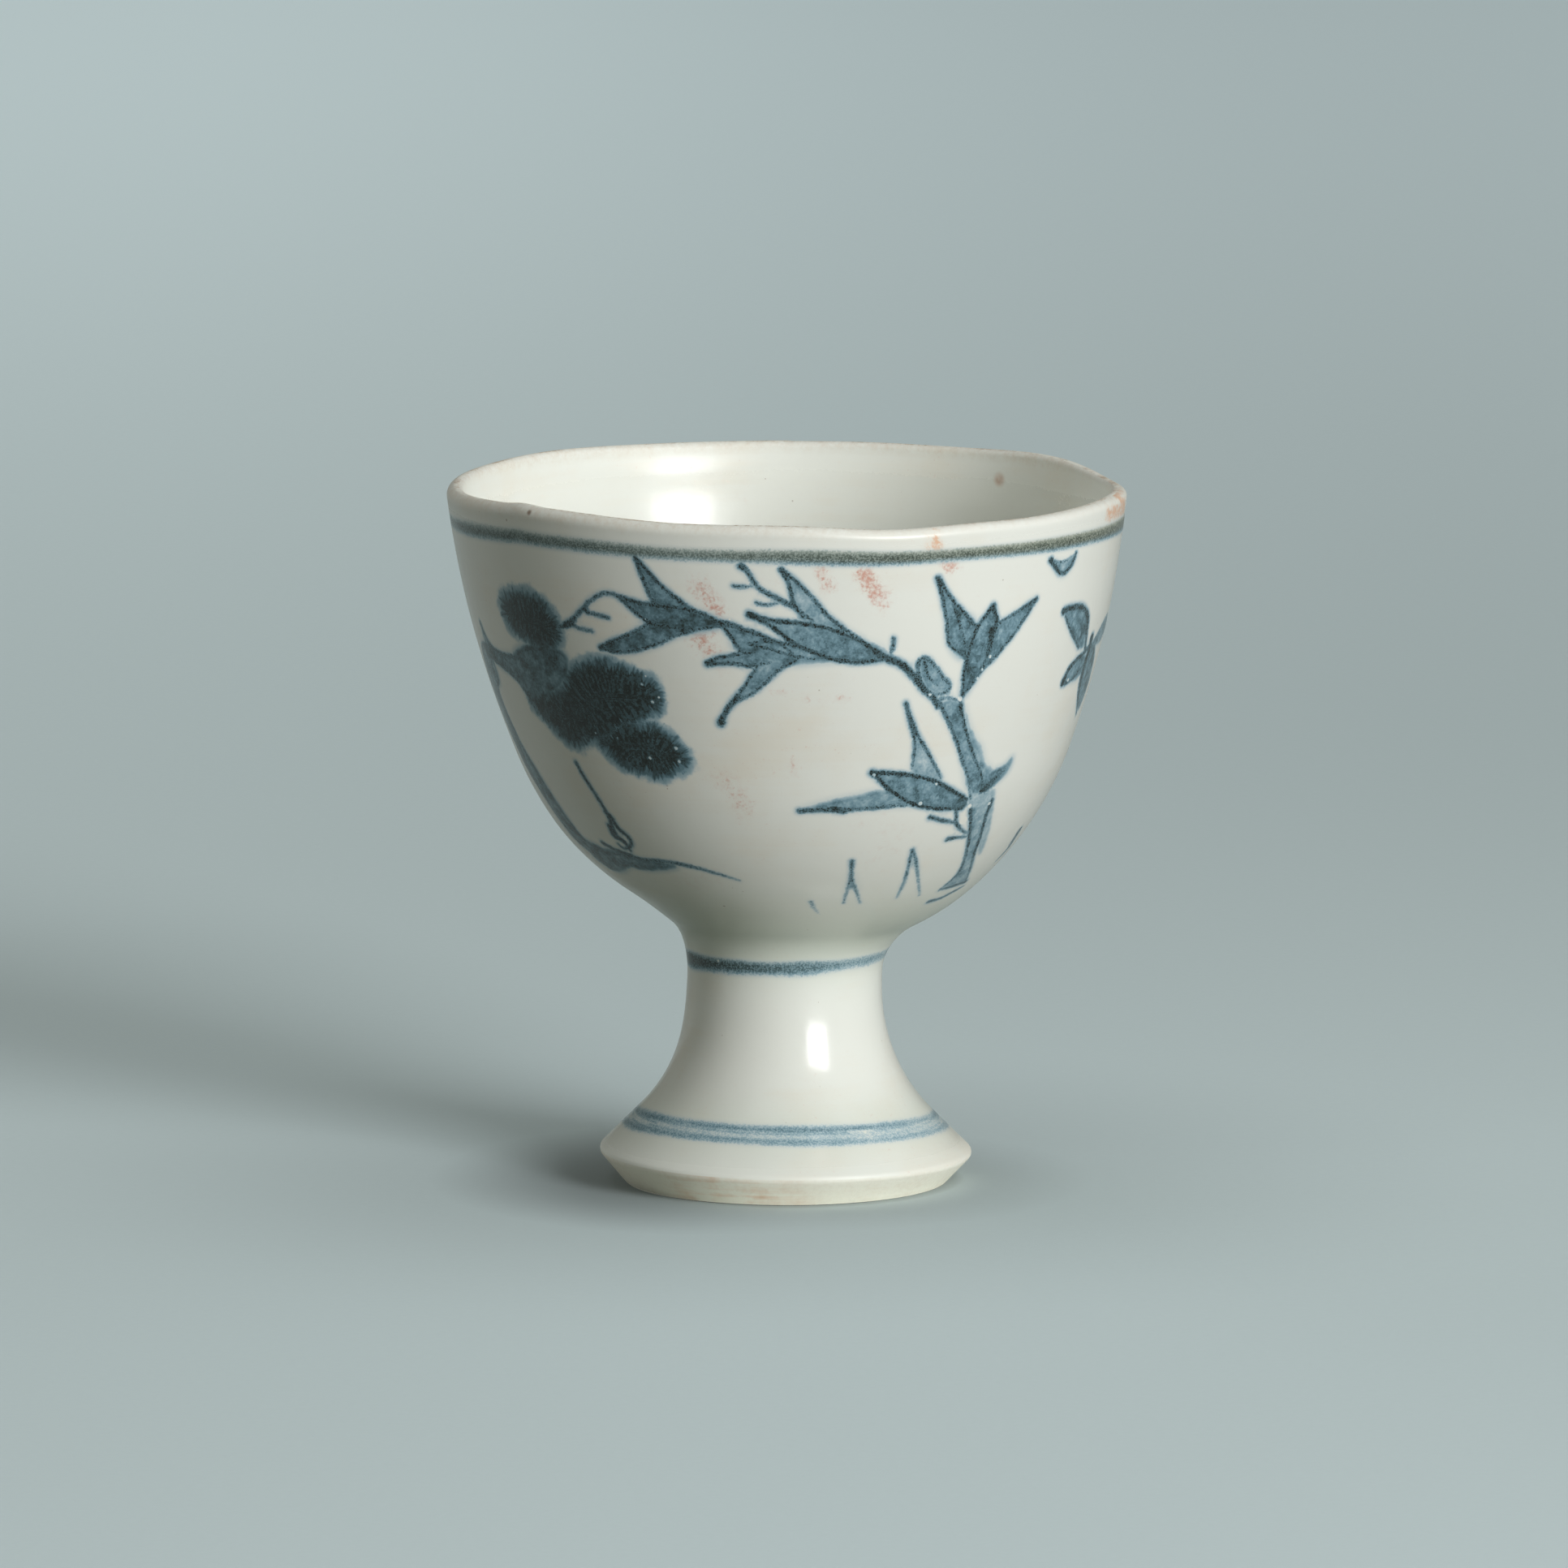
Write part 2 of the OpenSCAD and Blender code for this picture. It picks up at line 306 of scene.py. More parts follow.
@dataclass(frozen=True)
class Throwing:
    """How far the hand-made cup strays from its turned shape, in millimetres, by height."""

    heights: Floats = (0.0, 1.9, 6.0, 12.5, 16.4, 17.9, 19.8, 22.0, 25.5, 33.0, 42.0, 51.0)
    rise_right: Floats = (
        0.0, -0.014, -0.016, 0.006, 0.014, 0.004, -0.03, -0.008, 0.012, 0.012, 0.012, 0.012,
    )
    rise_back: Floats = (0.0, 0.0, 0.0, 0.0, 0.0, 0.0, 0.0, 0.0, 0.0, 0.0, -0.001, -0.0035)
    settle: Floats = (0.0, 0.0, 0.0, 0.0, 0.0, 0.0, -0.02, -0.03, -0.04, -0.06, -0.1, -0.13)
    shift_right: Floats = (0.0, 0.0, 0.0, -0.14, -0.04, 0.38, 0.74, 0.7, 0.68, 0.49, 0.27, 0.04)
    widen: Floats = (0.0, 0.0, 0.0, 0.12, 0.0, -0.12, -0.56, -0.26, -0.1, -0.11, 0.0, 0.03)
    out_of_round: Floats = (0.0, 0.02, 0.03, 0.02, 0.02, 0.02, 0.03, 0.04, 0.05, 0.06, 0.08, 0.1)
    lip_waves: float = 0.024
    lip_lifts: tuple[Triple, ...] = (
        (-129.0, 28.0, 0.3), (155.0, 20.0, -0.2), (104.0, 16.0, -0.62), (55.0, 45.0, -0.72),
        (18.0, 12.0, -0.3), (-50.0, 20.0, 0.38), (-52.0, 3.5, 0.14),
    )
    lip_start: float = 46.0
    lip_run: float = 5.0
    lip_inner_r: float = 5.0
    full_r: float = 6.0
    lobes: tuple[Wave, ...] = ((0.7, 2, 0.9), (0.4, 3, 2.1))
    ripples: tuple[Wave, ...] = ((1.0, 7, 0.4), (0.7, 11, 2.0))
    ease: Floats = (-1.2, -0.8, -0.4, 0.0, 0.4, 0.8, 1.2)

    def at(self, z: Array, values: Floats) -> Array:
        """A value that goes with the height z, eased past the heights at which it is given."""
        return np.mean([np.interp(z + step, self.heights, values) for step in self.ease], axis=0)

    def stray(self, points: Array) -> Array:
        """Shift of each point of the turned shape.

        Args:
            points: points in millimetres, one row each.

        Returns:
            The shifts, one row each.
        """
        x, y, z = points.T
        turn = np.arctan2(x, -y)
        radius = np.hypot(x, y)
        swell = self.at(z, self.out_of_round) * waves(turn, self.lobes)
        swell = (swell + self.at(z, self.widen)) * np.clip(radius / self.full_r, 0, 1)
        lift = x * self.at(z, self.rise_right) + y * self.at(z, self.rise_back) + self.at(z, self.settle)
        lip = np.clip((z - self.lip_start) / self.lip_run, 0, 1) * (radius > self.lip_inner_r)
        lift += lip * self.lip_waves * waves(turn, self.ripples)
        for place, width, height in self.lip_lifts:
            lift += lip * height * bell(np.degrees(turn), place, width)
        shift = self.at(z, self.shift_right)
        reach = np.maximum(radius, 1e-9)
        return np.column_stack([shift + swell * x / reach, swell * y / reach, lift])


@dataclass(frozen=True)
class PhotoCamera:
    """The photograph's camera: a long lens a little above the rim, in millimetres."""

    aim_x: float = -0.12
    aim_z: float = 28.8
    distance: float = 1200.0
    eye_z: float = 207.0
    lens: float = 386.0
    sensor: float = 36.0

    @property
    def eye(self) -> Vector:
        """Place of the lens."""
        return Vector((self.aim_x, -self.distance, self.eye_z))

    @property
    def heading(self) -> Vector:
        """Direction from the lens to the middle of the picture."""
        return (Vector((self.aim_x, 0, self.aim_z)) - self.eye).normalized()

    def ray(self, pixel: Point) -> Vector:
        """Direction from the lens through a pixel of the photograph.

        Args:
            pixel: its column and row.

        Returns:
            The direction, of length 1.
        """
        right = Vector((1, 0, 0))
        up = right.cross(self.heading)
        per_pixel = self.sensor / self.lens / PHOTO_SIDE
        across = (float(pixel[0]) - PHOTO_SIDE / 2) * per_pixel
        down = (float(pixel[1]) - PHOTO_SIDE / 2) * per_pixel
        return (self.heading + across * right - down * up).normalized()

    def build(self) -> None:
        """Adds the camera to the scene."""
        data = bpy.data.cameras.new("photo_camera")
        data.lens, data.sensor_width = self.lens, self.sensor
        camera = bpy.data.objects.new("photo_camera", data)
        camera.location = self.eye * MM
        camera.rotation_euler = self.heading.to_track_quat("-Z", "Y").to_euler()
        bpy.context.scene.collection.objects.link(camera)
        bpy.context.scene.camera = camera


class Side(Enum):
    """How a stroke's places are given."""

    FRONT = "pixels of the photograph"
    BACK = "degrees round the cup, to the right from the front, and height in millimetres"


class Layer(Enum):
    """Attributes of the glazed skin's points that hold the painting, each with its empty value."""

    LINE = ("line", 3.0)
    LINE_TONE = ("line_tone", 0.0)
    WASH = ("wash", 3.0)
    WASH_TONE = ("wash_tone", 0.0)
    PINE = ("pine", 3.0)
    NEEDLE = ("needle", 0.0)
    RING = ("ring", 3.0)
    RING_TONE = ("ring_tone", 0.0)
    RING_HUE = ("ring_hue", 0.0)
    PINHOLE = ("pinhole", 3.0)
    RUST = ("rust", 0.0)


@dataclass(frozen=True)
class Stroke:
    """One pull of the brush; widths in millimetres, tone from 0 to 1 for the strength of the cobalt."""

    points: Path
    width: float = 0.4
    tone: float = 0.9
    knob: float = 0.0
    tail: float = 0.5
    tail_tone: float = 0.85
    side: Side = Side.FRONT


@dataclass(frozen=True)
class Wash:
    """Thinned cobalt laid inside an outline."""

    points: Path
    tone: float = 0.6
    side: Side = Side.FRONT
    deepen: float = 0.0


@dataclass(frozen=True)
class Tuft:
    """A cloud of pine needles, laid dark in the middle."""

    points: Path
    side: Side = Side.FRONT


@dataclass(frozen=True)
class Pinhole:
    """A burst bubble in the glaze over a stroke."""

    spot: Point
    size: float = 0.3


@dataclass(frozen=True)
class Stain:
    """Iron-red freckles, dense along a path and thinning out over a width in millimetres."""

    points: Path
    width: float = 0.6
    strength: float = 0.5


@dataclass(frozen=True)
class Ring:
    """A line painted round the turning cup, in millimetres, left to right as seen in front."""

    height: float
    rise_right: float
    rise_front: float
    width_left: float
    width_right: float
    tone_left: float
    tone_right: float
    hue_left: float = 0.0
    hue_right: float = 0.0
    dry_turn: float = 0.0
    dry: float = 0.0


@dataclass(frozen=True)
class Leaf:
    """A bamboo leaf: two edges drawn from its tip, and a wash between them."""

    tip: Point
    left: Path
    right: Path
    width: float = 0.38
    tone: float = 0.9
    wash: float = 0.6
    knob: float = 0.12
    deepen: float = 0.12
    tail: float = 0.8
    tail_tone: float = 0.95

    def strokes(self) -> list[Stroke]:
        """The leaf's two edges."""
        return [
            Stroke((self.tip, *edge), self.width, self.tone, self.knob, self.tail, self.tail_tone)
            for edge in (self.left, self.right)
        ]

    def washes(self) -> list[Wash]:
        """The colour inside the leaf."""
        return [Wash((self.tip, *self.left, *reversed(self.right)), self.wash, deepen=self.deepen)]


@dataclass(frozen=True)
class Blossom:
    """A five-petalled plum blossom on the back; its size is the reach of a petal in millimetres."""

    turn: float
    height: float
    size: float = 2.6
    skew: float = 0.0
    petals: int = 5
    petal: Path = (
        (0.2, 0.0), (0.55, -0.38), (0.9, -0.42), (1.0, 0.0), (0.9, 0.42), (0.55, 0.38), (0.2, 0.05),
    )
    thread: Point = (0.1, 0.42)

    def _spot(self, reach: float, angle: float) -> Point:
        """A place at this reach and angle from the middle."""
        across = math.degrees(reach * math.sin(angle) / BACK_RADIUS)
        return (self.turn + across, self.height + reach * math.cos(angle))

    def _petal(self, number: int) -> Path:
        """Outline of one petal, from the middle and back."""
        centre = self.skew + 2 * math.pi * number / self.petals
        return tuple(self._spot(self.size * reach, centre + turn) for reach, turn in self.petal)

    def strokes(self) -> list[Stroke]:
        """Petal outlines and the short threads in the middle.

        Returns:
            The strokes, the outlines first.
        """
        numbers = range(self.petals)
        outlines = [Stroke(self._petal(n), 0.32, 0.85, 0.05, 0.7, 0.7, Side.BACK) for n in numbers]
        threads = []
        for number in numbers:
            angle = self.skew + math.pi * (2 * number + 1) / self.petals
            ends = tuple(self._spot(reach * self.size, angle) for reach in self.thread)
            threads.append(Stroke(ends, 0.24, 0.95, 0.0, 1.3, 1.0, Side.BACK))
        return outlines + threads

    def washes(self) -> list[Wash]:
        """A pale wash in every petal."""
        return [Wash(self._petal(n), 0.42, Side.BACK) for n in range(self.petals)]


RIM_RING = Ring(48.38, -0.25, 0.38, 0.66, 1.02, 0.75, 0.7, 0.5, 1.0, dry_turn=-14.0, dry=0.17)
NECK_RING = Ring(16.5, 0.08, 0.0, 1.0, 0.86, 0.9, 0.36, 0.25, 0.1)
FOOT_RINGS = (
    Ring(4.87, 0.0, 0.42, 0.6, 0.52, 0.53, 0.52, 0.0, 0.05, dry_turn=70.0, dry=0.3),
    Ring(4.1, 0.0, 0.42, 0.6, 0.54, 0.53, 0.38, 0.0, 0.0),
)
FOOT_WASH = Ring(4.48, 0.0, 0.42, 1.1, 1.0, 0.22, 0.21)

PINE_TUFTS = (
    Tuft((
        (617, 733), (627, 727), (646, 727), (665, 735), (681, 752), (690, 771), (692, 790), (684, 802),
        (665, 801), (648, 792), (631, 777), (619, 757),
    )),
    Tuft((
        (688, 845), (703, 821), (724, 812), (748, 811), (772, 820), (793, 829), (809, 840), (818, 858),
        (815, 877), (799, 887), (786, 893), (770, 902), (752, 914), (739, 917), (729, 915), (716, 922),
        (700, 917), (678, 896), (661, 877), (649, 857), (662, 851), (674, 851),
    )),
    Tuft((
        (786, 890), (804, 889), (822, 901), (838, 914), (850, 931), (849, 946), (834, 955), (815, 961),
        (793, 956), (768, 948), (752, 934), (738, 920), (735, 905), (750, 893), (768, 884),
    )),
)

PINE_WASHES = (
    Wash((
        (632, 809), (649, 795), (688, 800), (700, 817), (694, 840), (677, 852), (655, 836), (641, 823),
    ), 0.63),
    Wash((
        (593, 771), (598, 783), (606, 797), (618, 806), (640, 811), (668, 838), (676, 860), (657, 868),
        (646, 850), (635, 834), (620, 823), (608, 812), (599, 795),
    ), 0.59),
    Wash((
        (727, 1046), (745, 1046), (765, 1048), (783, 1057), (800, 1060), (829, 1065), (829, 1070),
        (800, 1072), (776, 1068), (768, 1073), (758, 1073), (745, 1066), (732, 1056),
    ), 0.56),
    Wash((
        (617, 862), (632, 896), (646, 923), (660, 946), (679, 977), (702, 1011), (721, 1034), (745, 1047),
        (742, 1058), (722, 1046), (702, 1026), (680, 994), (659, 958), (643, 924), (631, 898), (620, 870),
    ), 0.62),
)

PINE_STROKES = (
    Stroke(((592, 768), (598, 783), (606, 797), (618, 806), (637, 811), (655, 824)), 0.4, 0.85, 0.0, 0.9),
    Stroke(((604, 808), (612, 815), (624, 825), (637, 837), (648, 853), (659, 872)), 0.36, 0.82, 0.0, 0.8),
    Stroke(((622, 812), (640, 827), (656, 845), (668, 862)), 0.26, 0.75),
    Stroke((
        (613, 852), (619, 868), (632, 897), (645, 922), (659, 947), (677, 978), (700, 1011), (719, 1034),
        (738, 1047),
    ), 0.5, 0.62, 0.0, 1.4, 0.9),
    Stroke((
        (732, 1047), (751, 1051), (777, 1055), (790, 1059), (815, 1061), (834, 1064), (857, 1069),
        (879, 1075), (911, 1085),
    ), 0.42, 0.82, 0.0, 0.4, 0.6),
    Stroke((
        (710, 940), (719, 956), (735, 981), (748, 1002), (755, 1020), (761, 1032),
    ), 0.32, 0.9, 0.06, 1.2, 1.0),
    Stroke((
        (746, 1000), (753, 1007), (762, 1021), (773, 1030), (778, 1040), (770, 1046), (762, 1040),
    ), 0.36, 0.95),
    Stroke(((751, 1018), (757, 1030), (768, 1036), (777, 1048)), 0.4, 0.98),
    Stroke(((743, 1039), (758, 1047), (770, 1051), (790, 1058)), 0.36, 0.88, 0.05),
    Stroke((
        (689, 772), (700, 769), (716, 752), (730, 738), (744, 731), (758, 733), (772, 740), (789, 744),
    ), 0.32, 0.88),
    Stroke(((697, 770), (703, 767), (708, 763)), 0.5, 0.95, 0.05, 0.8),
    Stroke(((719, 750), (723, 754), (733, 757), (750, 761)), 0.32, 0.85, 0.08, 0.7),
    Stroke(((700, 767), (714, 774), (730, 778)), 0.3, 0.82, 0.0, 0.8),
)

BAMBOO_LEAVES = (
    Leaf(
        (783, 687), ((789, 705), (796, 722), (803, 738), (815, 748)),
        ((801, 708), (815, 722), (831, 736), (851, 750), (874, 760), (888, 767)), 0.34, 0.95, 0.46, 0.08,
        0.16,
    ),
    Leaf(
        (762, 735), ((787, 743), (823, 748), (851, 752), (885, 767)),
        ((784, 755), (801, 767), (820, 772), (851, 776), (885, 771)), 0.34, 0.98, 0.5, 0.04, 0.28,
    ),
    Leaf(
        (740, 798), ((758, 789), (778, 781), (798, 771), (820, 769)),
        ((761, 803), (787, 800), (812, 792), (831, 783), (851, 778), (870, 774)), 0.32, 0.9, 0.54, 0.1,
        0.12,
    ),
    Leaf(
        (872, 818), ((885, 811), (913, 806), (932, 803)), ((899, 817), (924, 820), (950, 816)), 0.32, 0.95,
        0.42, 0.16, 0.2,
    ),
    Leaf(
        (903, 865), ((916, 848), (927, 831), (937, 817)), ((927, 854), (944, 840), (960, 825), (984, 812)),
        0.3, 0.92, 0.4, 0.14, 0.12,
    ),
    Leaf(
        (888, 768), ((899, 782), (913, 803)), ((913, 775), (932, 781), (960, 793), (977, 806)), 0.32, 0.95,
        0.5, 0.1, 0.1,
    ),
    Leaf(
        (920, 793), ((945, 799), (977, 808), (1003, 812)), ((950, 790), (980, 797), (1003, 803)), 0.3, 0.92,
        0.56, 0.0, 0.1,
    ),
    Leaf(
        (963, 702), ((972, 720), (979, 745), (990, 762)),
        ((984, 720), (1003, 739), (1019, 758), (1038, 774), (1063, 790)), 0.32, 0.92, 0.24, 0.1, 0.26,
    ),
    Leaf(
        (923, 757),
        (
            (939, 765), (958, 777), (977, 792), (996, 801), (1016, 809), (1038, 814), (1060, 816),
            (1092, 812),
        ),
        ((952, 765), (984, 768), (1016, 774), (1038, 781), (1060, 790), (1079, 803), (1092, 811)), 0.36,
        1.02, 0.36, 0.16, 0.24,
    ),
    Leaf(
        (1156, 712), ((1162, 739), (1167, 765), (1170, 793), (1188, 809)),
        ((1169, 733), (1185, 752), (1202, 771)), 0.32, 0.94, 0.42, 0.1, 0.2,
    ),
    Leaf(
        (1224, 747), ((1210, 765), (1201, 781), (1194, 803), (1189, 825), (1185, 860)),
        ((1228, 765), (1223, 781), (1217, 806), (1207, 828)), 0.36, 1.0, 0.48, 0.14, 0.1,
    ),
    Leaf(
        (1277, 738), ((1252, 755), (1232, 768), (1226, 777), (1219, 800)),
        ((1258, 768), (1242, 790), (1226, 809), (1210, 825), (1197, 844), (1186, 857)), 0.3, 0.9, 0.44,
        0.02, 0.2,
    ),
    Leaf(
        (1116, 867), ((1122, 892), (1127, 911), (1126, 934), (1124, 946)),
        ((1130, 905), (1140, 921), (1150, 940), (1159, 959)), 0.28, 0.88, 0.22, 0.08, 0.14,
    ),
    Leaf(
        (1075, 952), ((1099, 953), (1124, 956), (1150, 962), (1169, 972), (1191, 985)),
        ((1092, 969), (1108, 981), (1127, 991), (1156, 996), (1185, 996)), 0.36, 1.05, 0.42, 0.16, 0.16,
    ),
)

BAMBOO_STROKES = (
    Stroke(((888, 768), (899, 769), (913, 775), (932, 781), (960, 795)), 0.42, 0.95, 0.12),
    Stroke(((888, 891), (894, 878), (903, 865)), 0.42, 0.92, 0.2, 1.2),
    Stroke((
        (913, 698), (921, 705), (930, 719), (941, 729), (961, 739), (984, 752), (1003, 766),
    ), 0.36, 0.86, 0.2, 0.7),
    Stroke(((904, 722), (914, 723), (929, 722)), 0.28, 0.72),
    Stroke(((932, 743), (944, 745), (959, 743)), 0.28, 0.76),
    Stroke((
        (1079, 803), (1092, 811), (1111, 819), (1127, 835), (1140, 851), (1150, 860), (1156, 870),
    ), 0.56, 0.95, 0.0, 0.8, 0.9),
    Stroke(((1101, 787), (1100, 796), (1097, 806)), 0.36, 0.75),
    Stroke((
        (1134, 842), (1131, 828), (1132, 816), (1140, 811), (1150, 819), (1162, 835), (1170, 844),
        (1165, 853), (1150, 855),
    ), 0.38, 0.82, 0.1, 0.9, 0.75),
    Stroke(((1140, 816), (1143, 832), (1156, 846)), 0.3, 0.85, 0.12),
    Stroke(((1154, 863), (1168, 860), (1182, 864)), 0.3, 0.7),
    Stroke(((1175, 742), (1183, 771), (1189, 797), (1190, 812)), 0.36, 0.88),
    Stroke(((1222, 778), (1221, 792), (1215, 808)), 0.56, 0.95, 0.1, 0.7),
    Stroke((
        (1158, 867), (1169, 889), (1178, 911), (1186, 937), (1193, 959), (1196, 984),
    ), 0.36, 0.86, 0.05),
    Stroke(((1183, 867), (1187, 889), (1194, 914), (1202, 937), (1210, 959), (1209, 974)), 0.36, 0.9, 0.05),
    Stroke(((1209, 975), (1222, 962), (1236, 950), (1246, 936)), 0.4, 0.9, 0.06, 0.5, 0.6),
    Stroke(((985, 999), (1010, 998), (1036, 998), (1068, 996), (1099, 993), (1131, 990)), 0.4, 0.82, 0.04),
    Stroke(((1026, 997), (1040, 999)), 0.52, 1.05, 0.06, 1.0),
    Stroke((
        (1196, 998), (1196, 1012), (1195, 1027), (1192, 1046), (1185, 1068), (1176, 1081), (1157, 1097),
    ), 0.36, 0.84),
    Stroke((
        (1222, 986), (1214, 1008), (1208, 1030), (1200, 1052), (1195, 1071), (1189, 1086),
    ), 0.38, 0.92, 0.05),
    Stroke(((1190, 1086), (1173, 1092), (1158, 1096)), 0.32, 0.85),
    Stroke(((1144, 1111), (1158, 1107), (1172, 1100), (1188, 1091)), 0.36, 0.76, 0.06, 0.4),
    Stroke(((1178, 1000), (1178, 1014), (1184, 1022), (1193, 1028)), 0.3, 0.82),
    Stroke(((1146, 1007), (1163, 1011), (1178, 1014)), 0.34, 0.82, 0.08, 0.8),
    Stroke(((1167, 1034), (1178, 1032), (1190, 1031)), 0.28, 0.78, 0.14, 0.7),
)

BAMBOO_WASHES = (
    Wash(((960, 790), (1003, 800), (1040, 812), (1004, 816), (975, 818), (940, 812), (927, 798)), 0.5),
    Wash((
        (1132, 816), (1140, 811), (1150, 819), (1162, 835), (1170, 844), (1165, 852), (1150, 854),
        (1140, 844),
    ), 0.42),
    Wash(((979, 728), (1003, 752), (1040, 780), (1010, 776), (985, 764), (981, 745)), 0.33),
    Wash(((1060, 790), (1085, 797), (1098, 808), (1092, 813), (1076, 803)), 0.33),
    Wash((
        (1158, 867), (1183, 866), (1188, 889), (1196, 914), (1204, 937), (1212, 961), (1203, 980),
        (1194, 975), (1186, 937), (1178, 911), (1169, 889),
    ), 0.47),
    Wash((
        (1188, 872), (1193, 890), (1200, 908), (1209, 922), (1213, 940), (1222, 950), (1210, 962),
        (1200, 935),
    ), 0.4),
    Wash(((1194, 972), (1208, 977), (1226, 972), (1222, 988), (1208, 993), (1195, 999)), 0.26),
    Wash(((1206, 968), (1218, 953), (1236, 944), (1247, 934), (1242, 950), (1226, 966), (1212, 978)), 0.5),
    Wash((
        (985, 999), (1016, 989), (1052, 981), (1090, 974), (1119, 983), (1135, 992), (1099, 994),
        (1068, 997), (1036, 999),
    ), 0.4),
    Wash((
        (1196, 998), (1208, 992), (1222, 986), (1214, 1008), (1208, 1030), (1200, 1052), (1195, 1071),
        (1189, 1086), (1173, 1091), (1160, 1095), (1176, 1081), (1185, 1068), (1192, 1046), (1195, 1027),
    ), 0.36),
    Wash((
        (1219, 990), (1225, 988), (1222, 1010), (1216, 1034), (1209, 1052), (1204, 1050), (1212, 1020),
    ), 0.24),
    Wash(((1124, 940), (1138, 930), (1155, 952), (1159, 964), (1142, 962), (1126, 957)), 0.36),
)

GRASS_WASHES = (
    Wash(((1049, 1074), (1053, 1086), (1056, 1098), (1049, 1095), (1043, 1099), (1046, 1086)), 0.34),
    Wash(((1124, 1050), (1128, 1062), (1127, 1072), (1123, 1070), (1119, 1076), (1121, 1062)), 0.2),
)

GRASS_STROKES = (
    Stroke((
        (1049.5, 1061), (1049, 1072), (1048, 1082), (1044, 1096), (1039, 1113),
    ), 0.22, 0.92, 0.05, 0.6, 0.5),
    Stroke(((1049, 1074), (1050, 1084), (1054, 1096), (1060, 1113)), 0.2, 0.84, 0.0, 0.6, 0.5),
    Stroke(((1124, 1047), (1120, 1065), (1114, 1086), (1105, 1106)), 0.24, 0.82, 0.05, 0.6, 0.55),
    Stroke(((1124, 1047), (1128, 1060), (1131, 1080), (1133, 1103)), 0.24, 0.76, 0.02, 0.6, 0.5),
    Stroke(((999, 1111), (1003, 1119), (1011, 1128)), 0.34, 0.42, 0.0, 0.5, 0.3),
)

PLUM_STROKES = (
    Stroke(((1295, 690), (1299, 697), (1308, 706), (1319, 698), (1326, 681)), 0.38, 0.95, 0.16, 0.8),
    Stroke(((1294, 689), (1303, 693), (1312, 692), (1322, 685)), 0.3, 0.7),
    Stroke(((1329, 797), (1321, 780), (1314, 762), (1312, 753)), 0.36, 0.85),
    Stroke((
        (1311, 753), (1321, 749), (1334, 749), (1340, 760), (1339, 778), (1337, 798),
    ), 0.5, 0.95, 0.1, 0.8),
    Stroke(((1310, 840), (1316, 826), (1325, 815), (1334, 806), (1342, 796)), 0.46, 0.98, 0.22, 0.8),
    Stroke(((1312, 842), (1321, 836), (1330, 826), (1336, 816)), 0.36, 0.85, 0.06),
    Stroke(((1345, 786), (1342, 800), (1336, 820), (1331, 842), (1326, 880)), 0.7, 0.98, 0.06, 0.3, 0.8),
    Stroke(((1348, 794), (1345, 816), (1338, 842), (1330, 866)), 0.6, 0.8, 0.0, 0.4, 0.7),
    Stroke(((1348, 792), (1354, 781), (1359, 770), (1364, 758)), 0.9, 0.62, 0.0, 0.5, 0.7),
    Stroke(((1256, 1023), (1249, 1034), (1241, 1046), (1228, 1060)), 0.6, 0.8, 0.0, 0.5, 0.6),
)

PLUM_WASHES = (
    Wash(((1293, 687), (1300, 692), (1312, 693), (1326, 684), (1319, 700), (1308, 708), (1298, 698)), 0.42),
    Wash((
        (1312, 753), (1323, 750), (1336, 750), (1340, 764), (1338, 782), (1332, 799), (1322, 782),
        (1315, 765),
    ), 0.55),
    Wash(((1313, 838), (1322, 820), (1336, 806), (1338, 818), (1326, 836)), 0.5),
    Wash(((1343, 792), (1349, 796), (1346, 820), (1338, 850), (1328, 874), (1332, 842), (1338, 814)), 0.55),
    Wash(((1348, 794), (1350, 786), (1358, 772), (1364, 758), (1362, 772), (1355, 790)), 0.45),
)

